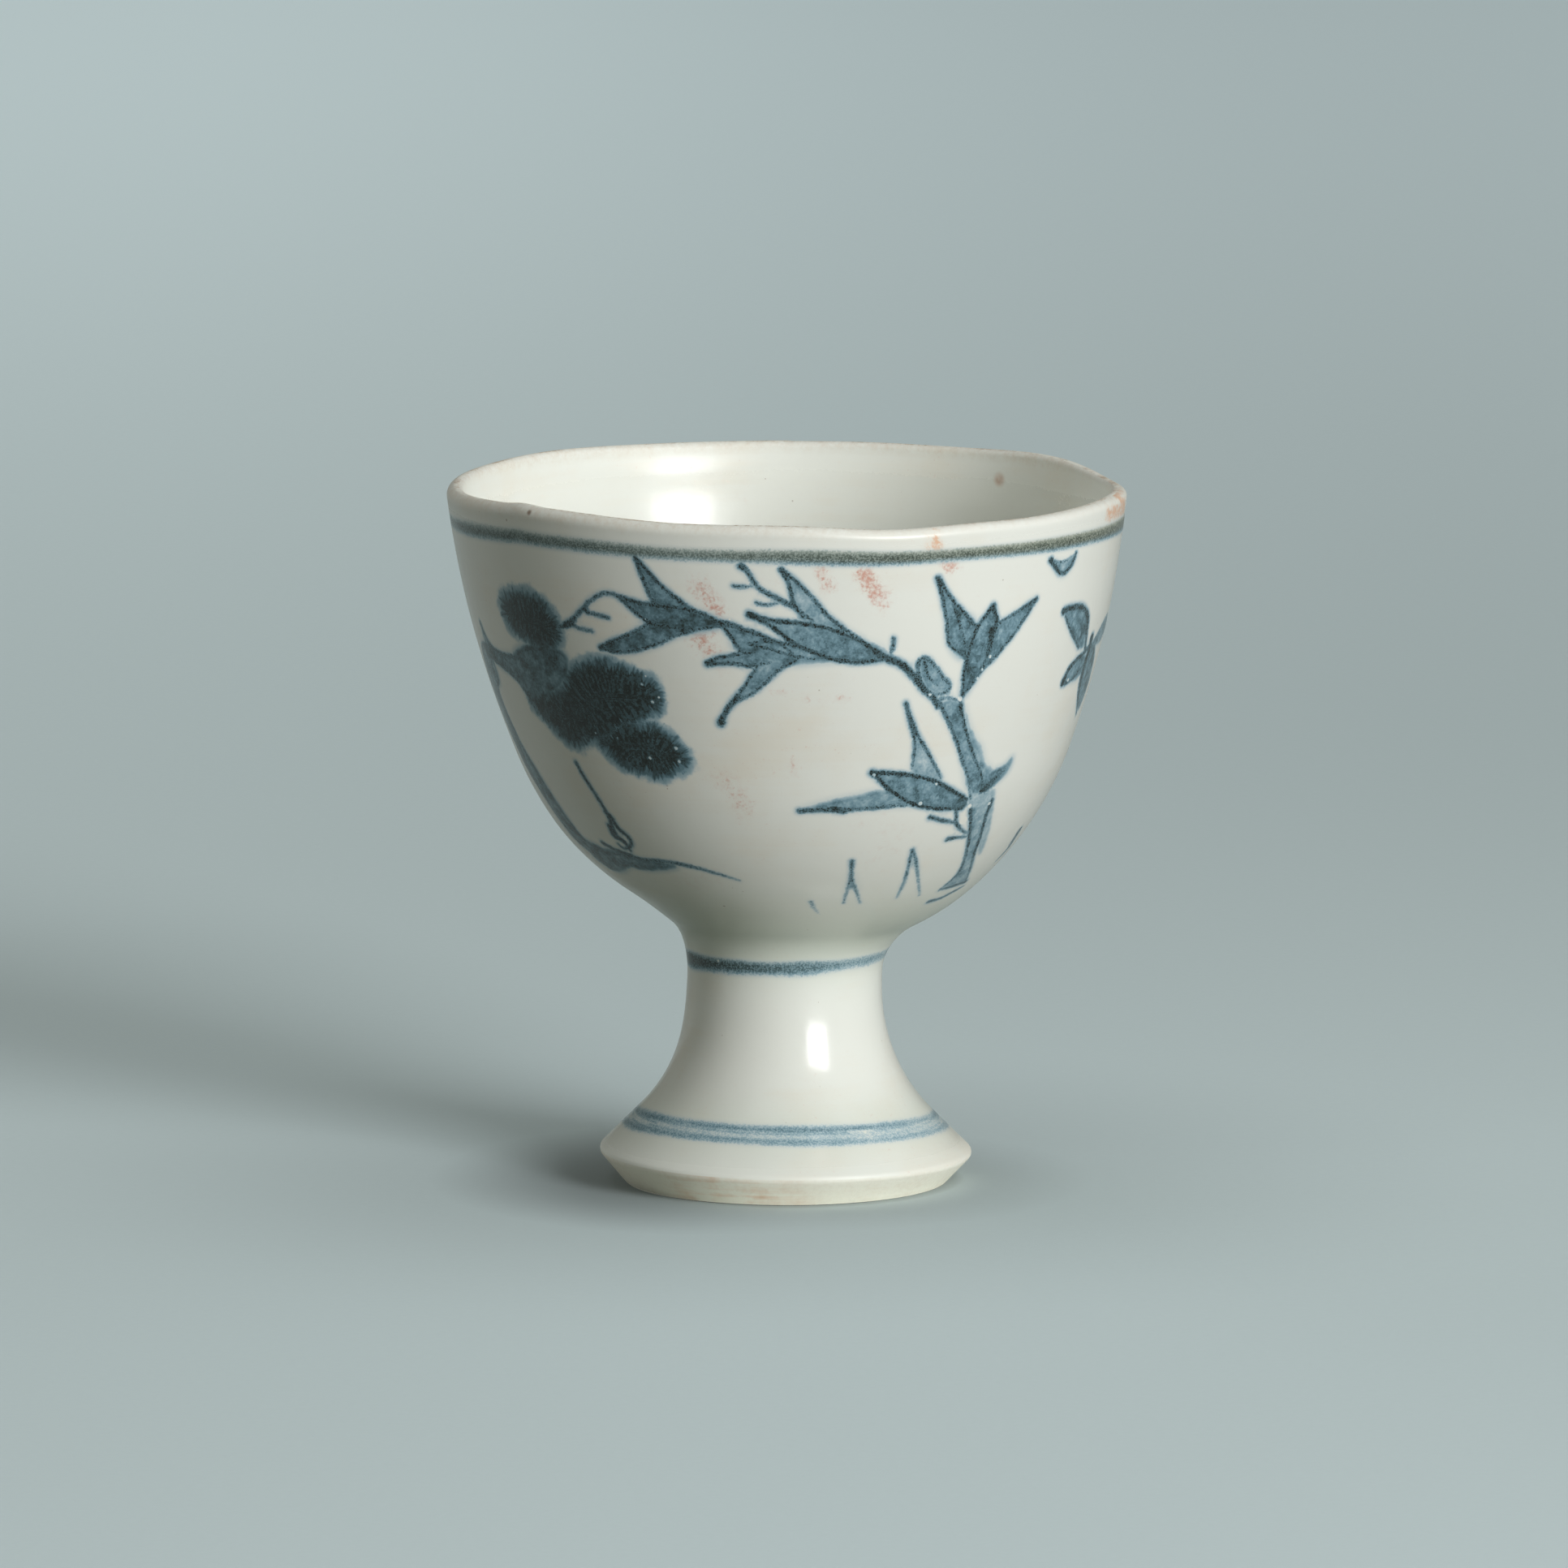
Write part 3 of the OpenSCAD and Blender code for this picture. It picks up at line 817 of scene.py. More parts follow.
BACK_STROKES = (
    Stroke((
        (118, 21), (128, 23.5), (140, 27), (150, 31), (158, 34.5), (163, 38.5),
    ), 0.6, 0.9, 0.1, 0.7, 0.9, Side.BACK),
    Stroke((
        (124, 20.6), (136, 23.6), (147, 27.6), (155, 31.6), (163, 35), (170, 37),
    ), 0.5, 0.85, 0.0, 0.7, 0.9, Side.BACK),
    Stroke((
        (150, 31), (143, 35.5), (133, 38.8), (122, 41.2), (112, 42.6),
    ), 0.46, 0.9, 0.0, 0.6, 0.8, Side.BACK),
    Stroke(((163, 36), (174, 38.6), (186, 39.6), (199, 38.4)), 0.44, 0.9, 0.0, 0.6, 0.8, Side.BACK),
    Stroke(((186, 39.6), (192, 42.5), (196, 45.2)), 0.34, 0.85, 0.0, 0.7, 0.8, Side.BACK),
    Stroke(((133, 38.8), (128, 35.6), (120, 33.5)), 0.34, 0.85, 0.0, 0.7, 0.8, Side.BACK),
    Stroke(((163, 38.5), (160, 42), (154, 45)), 0.34, 0.85, 0.0, 0.7, 0.8, Side.BACK),
    Stroke((
        (96, 21.5), (108, 20.4), (122, 20.2), (138, 20.8), (152, 20.2),
    ), 0.34, 0.75, 0.0, 0.4, 0.6, Side.BACK),
    Stroke(((168, 22.5), (170, 24.6), (172, 22.2)), 0.3, 0.75, 0.0, 0.6, 0.6, Side.BACK),
    Stroke(((182, 22), (184, 24.4), (187, 21.8)), 0.3, 0.72, 0.0, 0.6, 0.6, Side.BACK),
    Stroke((
        (262, 20), (256, 24), (252, 29), (254, 33.5), (260, 37.4), (267, 41),
    ), 0.56, 0.85, 0.0, 0.4, 0.9, Side.BACK),
    Stroke((
        (246, 19.6), (243, 24), (241, 29.5), (245, 35), (252, 39.5), (260, 41.7), (267, 41.8),
    ), 0.52, 0.85, 0.0, 0.4, 0.9, Side.BACK),
    Stroke((
        (286.5, 40.2), (281, 39.7), (278, 37.6), (278.6, 35), (282.6, 31.8), (287, 29), (290, 26),
    ), 0.42, 0.8, 0.0, 0.3, 0.9, Side.BACK),
    Stroke(((287, 37.6), (284.5, 36.8), (284.8, 35.2), (287, 33.4)), 0.36, 0.8, 0.0, 0.6, 0.9, Side.BACK),
    Stroke(((250, 23), (247, 27.5), (249, 32)), 0.28, 0.7, 0.0, 0.6, 0.7, Side.BACK),
    Stroke(((243, 33), (235, 35.6), (227, 36.6)), 0.4, 0.88, 0.0, 0.7, 0.9, Side.BACK),
    Stroke(((262, 20), (248, 19.4), (234, 20.2), (218, 20)), 0.4, 0.78, 0.0, 0.4, 0.6, Side.BACK),
)

BACK_WASHES = (
    Wash((
        (118, 21), (128, 23.5), (140, 27), (150, 31), (160, 35), (163, 35), (155, 31.6), (147, 27.6),
        (136, 23.6),
    ), 0.45, Side.BACK),
    Wash((
        (262, 20), (256, 24), (252, 29), (254, 33.5), (260, 37.4), (267, 41), (267, 41.8), (260, 41.7),
        (252, 39.5), (245, 35), (241, 29.5), (243, 24), (246, 19.6),
    ), 0.42, Side.BACK),
    Wash((
        (287, 40.2), (281, 39.7), (278, 37.6), (278.6, 35), (282.6, 31.8), (287, 29), (290, 26), (291, 29),
        (286.6, 33.4), (284.6, 35.6), (285, 37), (288, 37.8),
    ), 0.56, Side.BACK),
)

BACK_TUFTS = (
    Tuft((
        (216, 36), (221, 39.5), (229, 40.6), (236, 38.5), (237, 34.8), (231, 32.4), (222, 32.6),
    ), Side.BACK),
    Tuft(((232, 44.6), (240, 46), (249, 45), (253, 42), (247, 39.6), (238, 39.8), (232, 41.6)), Side.BACK),
)

BLOSSOMS = (
    Blossom(112, 42.8, 2.7, 0.3), Blossom(120, 33, 2.3, 0.9), Blossom(154, 45, 2.2, 0.2),
    Blossom(197, 45, 2.4, 0.6), Blossom(201, 37.8, 2.6, 0.1), Blossom(172, 33.8, 2.1, 0.5),
)

PINHOLES = tuple(Pinhole(spot, size) for spot, size in (
    ((791, 843), 0.26), ((804, 865), 0.29), ((833, 922), 0.31), ((837, 938), 0.29), ((801, 934), 0.29),
    ((734, 903), 0.22), ((761, 910), 0.22), ((1146, 856), 0.29), ((1183, 861), 0.42), ((1220, 809), 0.29),
    ((1210, 825), 0.26), ((1204, 836), 0.27), ((1195, 993), 0.37), ((1134, 990), 0.36), ((1154, 966), 0.27),
    ((1077, 955), 0.31), ((1219, 990), 0.31), ((1316, 838), 0.31), ((885, 1184), 0.24),
    ((1066, 1395), 0.24), ((914, 941), 0.26), ((1187, 1011), 0.68),
))

STAINS = (
    Stain(((862, 722), (874, 740), (884, 758), (874, 768)), 1.0, 0.62),
    Stain(((858, 785), (872, 800), (885, 815)), 1.0, 0.55),
    Stain(((1010, 700), (1017, 712), (1021, 724)), 0.6, 0.72),
    Stain(((1064, 706), (1074, 722), (1086, 740)), 0.8, 0.85),
    Stain(((1152, 676), (1160, 684), (1172, 698)), 0.65, 0.95),
    Stain(((1360, 608), (1378, 612), (1385, 626), (1366, 634)), 0.75, 1.0),
    Stain(((1148, 652), (1150, 666)), 0.4, 0.8),
    Stain(((890, 960), (905, 975), (915, 995)), 1.2, 0.4),
    Stain(((949, 851), (975, 855), (1000, 862)), 0.3, 0.45),
    Stain(((1018, 866), (1034, 860), (1050, 856)), 0.3, 0.5),
    Stain(((970, 912), (974, 932), (979, 952)), 0.2, 0.55),
    Stain(((820, 1075), (850, 1088), (880, 1080)), 1.4, 0.2),
    Stain(((940, 706), (960, 716)), 1.0, 0.2),
    Stain(((1060, 1010), (1110, 1030), (1080, 1060)), 1.8, 0.2),
)


@dataclass(frozen=True)
class Sight:
    """Finds where strokes lie on the turned shape, before the cup strays from it.

    The skin is a search tree of the turned outside, and the outline is the bowl's radius and height,
    from below. The front's step is in pixels, and all else in millimetres.
    """

    camera: PhotoCamera
    skin: BVHTree
    throwing: Throwing
    outline: Array
    front_step: float = 3.0
    back_step: float = 0.2
    tries: int = 3

    def spot(self, pixel: Point) -> Array:
        """The place on the turned shape that shows at a pixel, or the nearest one past the outline.

        Args:
            pixel: its column and row in the photograph.

        Returns:
            The place in millimetres.
        """
        heading = self.camera.ray(pixel)
        stray = Vector((0, 0, 0))
        for _ in range(self.tries):
            origin = self.camera.eye - stray
            hit = self.skin.ray_cast(origin, heading)[0]
            if hit is None:
                hit = self.skin.find_nearest(origin + heading * (-origin.y / heading.y))[0]
            stray = Vector(self.throwing.stray(np.array([hit]))[0])
        return np.array(hit)

    def round_spot(self, degrees: float, height: float) -> Array:
        """The place at a turn and a height on the bowl."""
        turn, radius = math.radians(degrees), np.interp(height, self.outline[:, 1], self.outline[:, 0])
        return np.array([radius * math.sin(turn), -radius * math.cos(turn), height])

    def course(self, points: Path, side: Side, closed: bool = False) -> Array:
        """Lays a path on the turned shape.

        Args:
            points: the path's places.
            side: how the places are given.
            closed: whether the path comes back to its start.

        Returns:
            Points in millimetres, one row each.
        """
        if side is Side.FRONT:
            rows = smooth_path(points, self.front_step, closed)
            return np.array([self.spot(tuple(row)) for row in rows])
        per_degree = BACK_RADIUS * math.pi / 180
        flat = tuple((turn * per_degree, height) for turn, height in points)
        rows = smooth_path(flat, self.back_step, closed)
        return np.array([self.round_spot(row[0] / per_degree, row[1]) for row in rows])


def edge_gap(points: Array, course: Array, halves: Array) -> tuple[Array, Array]:
    """Distance of points from the edge of a stroke.

    Args:
        points: the points to measure from.
        course: the stroke's middle line.
        halves: half of its width along that line.

    Returns:
        The distances, less than nothing inside, and the place along the line, in its own points.
    """
    best = np.full(len(points), 1e6)
    along = np.zeros(len(points))
    for number in range(len(course) - 1):
        start, run = course[number], course[number + 1] - course[number]
        share = np.clip((points - start) @ run / max(run @ run, 1e-12), 0, 1)
        gap = np.linalg.norm(points - start - share[:, None] * run, axis=1)
        gap -= halves[number] + share * (halves[number + 1] - halves[number])
        closer = gap < best
        best = np.where(closer, gap, best)
        along = np.where(closer, number + share, along)
    return best, along


def within(points: Array, course: Array) -> Array:
    """Whether points lie inside a closed course, seen square on to the skin.

    Args:
        points: the points to test.
        course: the closed course.

    Returns:
        True for each point inside.
    """
    middle = math.atan2(course[:, 0].mean(), -course[:, 1].mean())

    def unrolled(rows: Array) -> Array:
        """Turn from the middle of the course, and height."""
        turn = np.arctan2(rows[:, 0], -rows[:, 1]) - middle
        return np.column_stack([(turn + np.pi) % (2 * np.pi) - np.pi, rows[:, 2]])

    flat, ring = unrolled(points), unrolled(course)
    inside = np.zeros(len(points), bool)
    for (x0, y0), (x1, y1) in zip(ring, np.roll(ring, -1, axis=0)):
        if y0 == y1:
            continue
        crosses = (flat[:, 1] > y0) != (flat[:, 1] > y1)
        inside ^= crosses & (flat[:, 0] < x0 + (flat[:, 1] - y0) * (x1 - x0) / (y1 - y0))
    return inside


def lengths_along(course: Array) -> Array:
    """Distance along a course at each of its points."""
    return np.concatenate([[0], np.cumsum(np.linalg.norm(np.diff(course, axis=0), axis=1))])


class Canvas:
    """Gathers the painting at the points of the glazed skin."""

    REACH = 2.5
    TAIL_START = 0.55
    TAIL_CURVE = 1.5
    KNOB_SWELL = 0.42
    KNOB_LENGTH = 0.35
    KNOB_INK = 0.3
    KNOB_INK_LENGTH = 0.5
    RING_WIDTHS: tuple[Wave, ...] = ((0.1, 5, 1.0), (0.08, 9, 0.0))
    RING_WANDER = 0.04
    LEAST_SLOPE = 0.3
    DRY_REACH = 18.0
    HUE_EDGE = 0.5
    HUE_RUN = 0.4
    STAIN_REACH = 3

    def __init__(self, points: Array, slopes: Array) -> None:
        """Starts a bare canvas.

        Args:
            points: the skin's points in millimetres, one row each.
            slopes: upright share of a step along the skin at each point.
        """
        self.points, self.slopes = points, slopes
        self.layers = {layer: np.full(len(points), layer.value[1]) for layer in Layer}

    def _near(self, course: Array, reach: float) -> Array:
        """Numbers of the points in the box round a course."""
        inside = (self.points > course.min(0) - reach) & (self.points < course.max(0) + reach)
        return np.flatnonzero(inside.all(1))

    def pull(self, stroke: Stroke, course: Array) -> None:
        """Paints a line.

        Args:
            stroke: its widths and tones.
            course: its middle line on the skin.
        """
        share = np.linspace(0, 1, len(course))
        travel = lengths_along(course)
        tail = np.clip((share - self.TAIL_START) / (1 - self.TAIL_START), 0, 1) ** self.TAIL_CURVE
        halves = stroke.width / 2 * (1 - (1 - stroke.tail) * tail)
        halves += self.KNOB_SWELL * stroke.knob * bell(travel, 0, self.KNOB_LENGTH)
        tones = stroke.tone * (1 - (1 - stroke.tail_tone) * share)
        tones += self.KNOB_INK * stroke.knob * bell(travel, 0, self.KNOB_INK_LENGTH)
        near = self._near(course, self.REACH)
        gap, along = edge_gap(self.points[near], course, halves)
        self._lay(Layer.LINE, Layer.LINE_TONE, near, gap, np.interp(along, np.arange(len(course)), tones))

    def flood(self, wash: Wash, course: Array) -> None:
        """Paints a wash.

        Args:
            wash: its tone at the start, and how far it deepens from there.
            course: its closed outline on the skin.
        """
        near, gap, _ = self._area(course)
        run = course[np.linalg.norm(course - course[0], axis=1).argmax()] - course[0]
        share = np.clip((self.points[near] - course[0]) @ run / (run @ run), 0, 1)
        self._lay(Layer.WASH, Layer.WASH_TONE, near, gap, wash.tone + wash.deepen * share)

    def dab(self, course: Array) -> None:
        """Paints a tuft of pine needles.

        Args:
            course: its closed outline on the skin.
        """
        near, gap, along = self._area(course)
        needles = np.interp(along, np.arange(len(course)), lengths_along(course))
        self._lay(Layer.PINE, Layer.NEEDLE, near, gap, needles)

    def _area(self, course: Array) -> tuple[Array, Array, Array]:
        """Measures the skin's points from the edge of an area.

        Args:
            course: the area's closed outline.

        Returns:
            Numbers of the points near it, their distance from the edge, less than nothing inside, and the
            place along the edge, in the outline's own points.
        """
        near = self._near(course, self.REACH)
        gap, along = edge_gap(self.points[near], course, np.zeros(len(course)))
        return near, np.where(within(self.points[near], course), -gap, gap), along

    def _lay(self, layer: Layer, extra: Layer, near: Array, gap: Array, value: Array) -> None:
        """Keeps the nearest stroke's distance and its own value at each point.

        Args:
            layer: where the distances are kept.
            extra: where the values are kept.
            near: numbers of the points near the stroke.
            gap: their distance from its edge.
            value: the stroke's own value at each of them.
        """
        closer = gap < self.layers[layer][near]
        self.layers[layer][near[closer]] = gap[closer]
        self.layers[extra][near[closer]] = value[closer]

    def band(self, ring: Ring) -> None:
        """Paints a line round the cup, over the lines that it crosses.

        Args:
            ring: its place, widths, tones and hues.
        """
        x, y, z = self.points.T
        share = 0.5 + 0.5 * x / np.maximum(np.hypot(x, y), 1e-6)
        turn = np.arctan2(x, -y)

        def across(left: float, right: float) -> Array:
            """A value that goes from one side of the cup to the other."""
            return left + share * (right - left)

        half = across(ring.width_left, ring.width_right) / 2 * (1 + waves(turn, self.RING_WIDTHS))
        height = ring.height + ring.rise_right * (2 * share - 1) + ring.rise_front * np.cos(turn)
        height += waves(turn, ((self.RING_WANDER, 3, ring.height),))
        above = (z - height) / np.maximum(self.slopes, self.LEAST_SLOPE)
        gap = np.abs(above) - half
        inked = 1 - ring.dry * bell(np.degrees(turn), ring.dry_turn, self.DRY_REACH)
        tone = across(ring.tone_left, ring.tone_right) * inked
        burned = np.clip((above + self.HUE_EDGE) / self.HUE_RUN, 0, 1)
        hue = across(ring.hue_left, ring.hue_right) * burned
        closer = np.flatnonzero((gap < self.layers[Layer.RING]) | (gap < 0))
        for layer, values in ((Layer.RING, gap), (Layer.RING_TONE, tone), (Layer.RING_HUE, hue)):
            self.layers[layer][closer] = values[closer]

    def prick(self, pinhole: Pinhole, spot: Array) -> None:
        """Opens a pinhole at a place on the skin."""
        gap = np.linalg.norm(self.points - spot, axis=1) - pinhole.size / 2
        self.layers[Layer.PINHOLE] = np.minimum(self.layers[Layer.PINHOLE], gap)

    def freckle(self, stain: Stain, course: Array) -> None:
        """Adds iron-red freckles.

        Args:
            stain: how wide and how strong they are.
            course: where they are densest.
        """
        near = self._near(course, self.STAIN_REACH * stain.width)
        gap, _ = edge_gap(self.points[near], course, np.zeros(len(course)))
        self.layers[Layer.RUST][near] += stain.strength * bell(gap, 0, stain.width)


@dataclass
class Painting:
    """The pine, bamboo and plum painting, with the lines round the cup."""

    sight: Sight
    lines: list[tuple[Stroke, Array]] = field(default_factory=list)
    washes: list[tuple[Wash, Array]] = field(default_factory=list)
    tufts: list[Array] = field(default_factory=list)
    pinholes: list[tuple[Pinhole, Array]] = field(default_factory=list)

    def __post_init__(self) -> None:
        """Lays every stroke on the turned shape."""
        plants = (*BAMBOO_LEAVES, *BLOSSOMS)
        strokes = [*PINE_STROKES, *BAMBOO_STROKES, *GRASS_STROKES, *PLUM_STROKES, *BACK_STROKES]
        strokes += [stroke for plant in plants for stroke in plant.strokes()]
        washes = [*PINE_WASHES, *BAMBOO_WASHES, *GRASS_WASHES, *PLUM_WASHES, *BACK_WASHES]
        washes += [wash for plant in plants for wash in plant.washes()]
        self.lines = [(stroke, self.sight.course(stroke.points, stroke.side)) for stroke in strokes]
        for wash in washes:
            self.washes.append((wash, self.closed(self.sight.course(wash.points, wash.side, closed=True))))
        for tuft in (*PINE_TUFTS, *BACK_TUFTS):
            self.tufts.append(self.closed(self.sight.course(tuft.points, tuft.side, closed=True)))
        self.pinholes = [(pinhole, self.sight.spot(pinhole.spot)) for pinhole in PINHOLES]

    @staticmethod
    def closed(course: Array) -> Array:
        """A course with its first point again at its end."""
        return np.vstack([course, course[:1]])

    def edges(self) -> kdtree.KDTree:
        """Gathers the edges that need fine points in the skin.

        Returns:
            Their search tree.
        """
        courses = [course for _, course in self.lines] + [course for _, course in self.washes] + self.tufts
        courses.append(np.array([spot for _, spot in self.pinholes]))
        rows = np.vstack(courses)
        tree = kdtree.KDTree(len(rows))
        for number, row in enumerate(rows):
            tree.insert(row, number)
        tree.balance()
        return tree

    def paint(self, canvas: Canvas) -> None:
        """Puts the whole painting on a canvas.

        Args:
            canvas: the bare canvas.
        """
        for ring in (RIM_RING, NECK_RING, FOOT_WASH, *FOOT_RINGS):
            canvas.band(ring)
        for wash, course in self.washes:
            canvas.flood(wash, course)
        for course in self.tufts:
            canvas.dab(course)
        for stroke, course in self.lines:
            canvas.pull(stroke, course)
        for pinhole, spot in self.pinholes:
            canvas.prick(pinhole, spot)
        for stain in STAINS:
            canvas.freckle(stain, self.sight.course(stain.points, Side.FRONT))


@dataclass(frozen=True)
class Bench:
    """Lays out and joins the nodes of one shader tree."""

    tree: Tree

    def add(self, kind: str, *values: object, **settings: object) -> Node:
        """Adds a node.

        Args:
            kind: the last word of its kind.
            values: what its inputs are fed, in their order.
            settings: its settings, by name.

        Returns:
            The node.
        """
        node = self.tree.nodes.new("ShaderNode" + kind)
        for name, value in settings.items():
            setattr(node, name, value)
        for socket, value in zip(node.inputs, values):
            self.feed(socket, value)
        return node

    def feed(self, socket: Socket, value: object) -> None:
        """Joins an output to an input, or sets the input.

        Args:
            socket: the input.
            value: the output, or a plain value.
        """
        if isinstance(value, Socket):
            self.tree.links.new(value, socket)
        else:
            socket.default_value = value

    def put(self, node: Node, **values: object) -> Node:
        """Feeds a node's inputs by name.

        Args:
            node: the node.
            values: what the inputs are fed, under their names in small letters, with _ for a space.

        Returns:
            The same node.
        """
        for name, value in values.items():
            self.feed(node.inputs[name.replace("_", " ").title()], value)
        return node

    def math(self, operation: str, *values: object, clamp: bool = False) -> Socket:
        """One sum of up to three values, held between 0 and 1 if it is clamped."""
        return self.add("Math", *values, operation=operation, use_clamp=clamp).outputs[0]

    def weigh(self, *terms: tuple[object, float], start: float = 0.0) -> Socket:
        """Adds up sockets, each times its own weight, from a start value."""
        return reduce(lambda total, term: self.math("MULTIPLY_ADD", *term, total), terms, start)

    def most(self, *values: object) -> Socket:
        """The greatest of several values."""
        return reduce(partial(self.math, "MAXIMUM"), values)

    def times(self, *values: object) -> Socket:
        """The product of several values."""
        return reduce(partial(self.math, "MULTIPLY"), values)

    def step(self, value: object, start: float, end: float) -> Socket:
        """A smooth step, still 0 where the value is at its start and already 1 at its end."""
        node = self.add("MapRange", value, start, end, interpolation_type="SMOOTHSTEP")
        return node.outputs["Result"]

    def noise(self, where: object, per_mm: float, detail: float = 2.0, rough: float = 0.5) -> Socket:
        """Noise from about -0.5 to 0.5, with finer noises in it by its detail and roughness."""
        node = self.put(self.add("TexNoise"), vector=where, scale=per_mm, detail=detail, roughness=rough)
        return self.math("SUBTRACT", node.outputs[0], 0.5)

    def dots(self, where: object, per_mm: float, size: float, share: float) -> Socket:
        """Round dots scattered at random.

        Args:
            where: places in millimetres.
            per_mm: cells to a millimetre, of which some hold a dot.
            size: radius of a dot in cells.
            share: share of the cells that hold one.

        Returns:
            1 in a dot and 0 outside.
        """
        node = self.put(self.add("TexVoronoi"), vector=where, scale=per_mm)
        tint = self.add("SeparateColor", node.outputs["Color"])
        held = self.math("LESS_THAN", tint.outputs[0], share)
        reach = self.math("MULTIPLY_ADD", tint.outputs[1], size * 0.6, size * 0.4)
        shape = self.step(self.math("SUBTRACT", node.outputs["Distance"], reach), size * 0.3, -size * 0.3)
        return self.math("MULTIPLY", held, shape)

    def stretch(self, where: object, scale: Triple) -> Socket:
        """Places stretched along the axes."""
        return self.add("VectorMath", where, scale, operation="MULTIPLY").outputs[0]

    def mix(self, share: object, under: object, over: object) -> Socket:
        """Lays one colour over another.

        Args:
            share: how much of the upper one shows.
            under, over: the two colours.

        Returns:
            The mixed colour.
        """
        node = self.add("Mix", share, data_type="RGBA")
        self.feed(node.inputs[6], under)
        self.feed(node.inputs[7], over)
        return node.outputs[2]

    def ramp(self, value: object, stops: tuple[tuple[float, Colour], ...]) -> Socket:
        """Colours along a value.

        Args:
            value: the value, from 0 to 1.
            stops: values with their colours, from the lowest.

        Returns:
            The colour at each value.
        """
        node = self.add("ValToRGB", value)
        elements = node.color_ramp.elements
        while len(elements) < len(stops):
            elements.new(1.0)
        for element, (place, colour) in zip(elements, stops):
            element.position, element.color = place, colour
        return node.outputs[0]

    def group(self, tree: Tree, **values: object) -> Node:
        """Places a node group and feeds its inputs."""
        return self.put(self.add("Group", node_tree=tree), **values)

    def split(self, where: object) -> Sockets:
        """Distances of places along the axes, by the names of the axes."""
        return self.add("SeparateXYZ", where).outputs

    def places(self) -> Socket:
        """Places on the piece in millimetres."""
        node = self.add("TexCoord")
        return self.stretch(node.outputs["Object"], (1 / MM, 1 / MM, 1 / MM))

    def near(self, where: Socket, spot: Triple, full: float, end: float) -> Socket:
        """Share that a spot's own colour takes: all near its middle, and none from an end distance on."""
        away = self.add("VectorMath", where, spot, operation="DISTANCE")
        return self.step(away.outputs["Value"], end, full)

    def surface(self, shader: Node, look: Node, depth: float) -> None:
        """Joins a look's gloss, and its surface of a depth in metres, to the shader."""
        bump = self.put(self.add("Bump"), distance=depth, height=look.outputs["Height"])
        self.put(shader, roughness=look.outputs["Roughness"], normal=bump.outputs["Normal"])

    def attribute(self, name: str) -> Socket:
        """A value that the piece's points hold."""
        return self.add("Attribute", attribute_name=name).outputs["Fac"]


def new_group(name: str, inputs: list[str], outputs: list[str]) -> tuple[Bench, Sockets, Node]:
    """Starts a shader node group, which takes places and numbers and gives a colour and numbers.

    Args:
        name: the group's name.
        inputs, outputs: names of the numbers that it takes and gives.

    Returns:
        A bench for its tree, what it is given, and its output node.
    """
    tree = bpy.data.node_groups.new(name, "ShaderNodeTree")
    tree.interface.new_socket("Where", in_out="INPUT", socket_type="NodeSocketVector")
    tree.interface.new_socket("Color", in_out="OUTPUT", socket_type="NodeSocketColor")
    for in_out, names in (("INPUT", inputs), ("OUTPUT", outputs)):
        for number in names:
            tree.interface.new_socket(number, in_out=in_out, socket_type="NodeSocketFloat")
    return Bench(tree), tree.nodes.new("NodeGroupInput").outputs, tree.nodes.new("NodeGroupOutput")


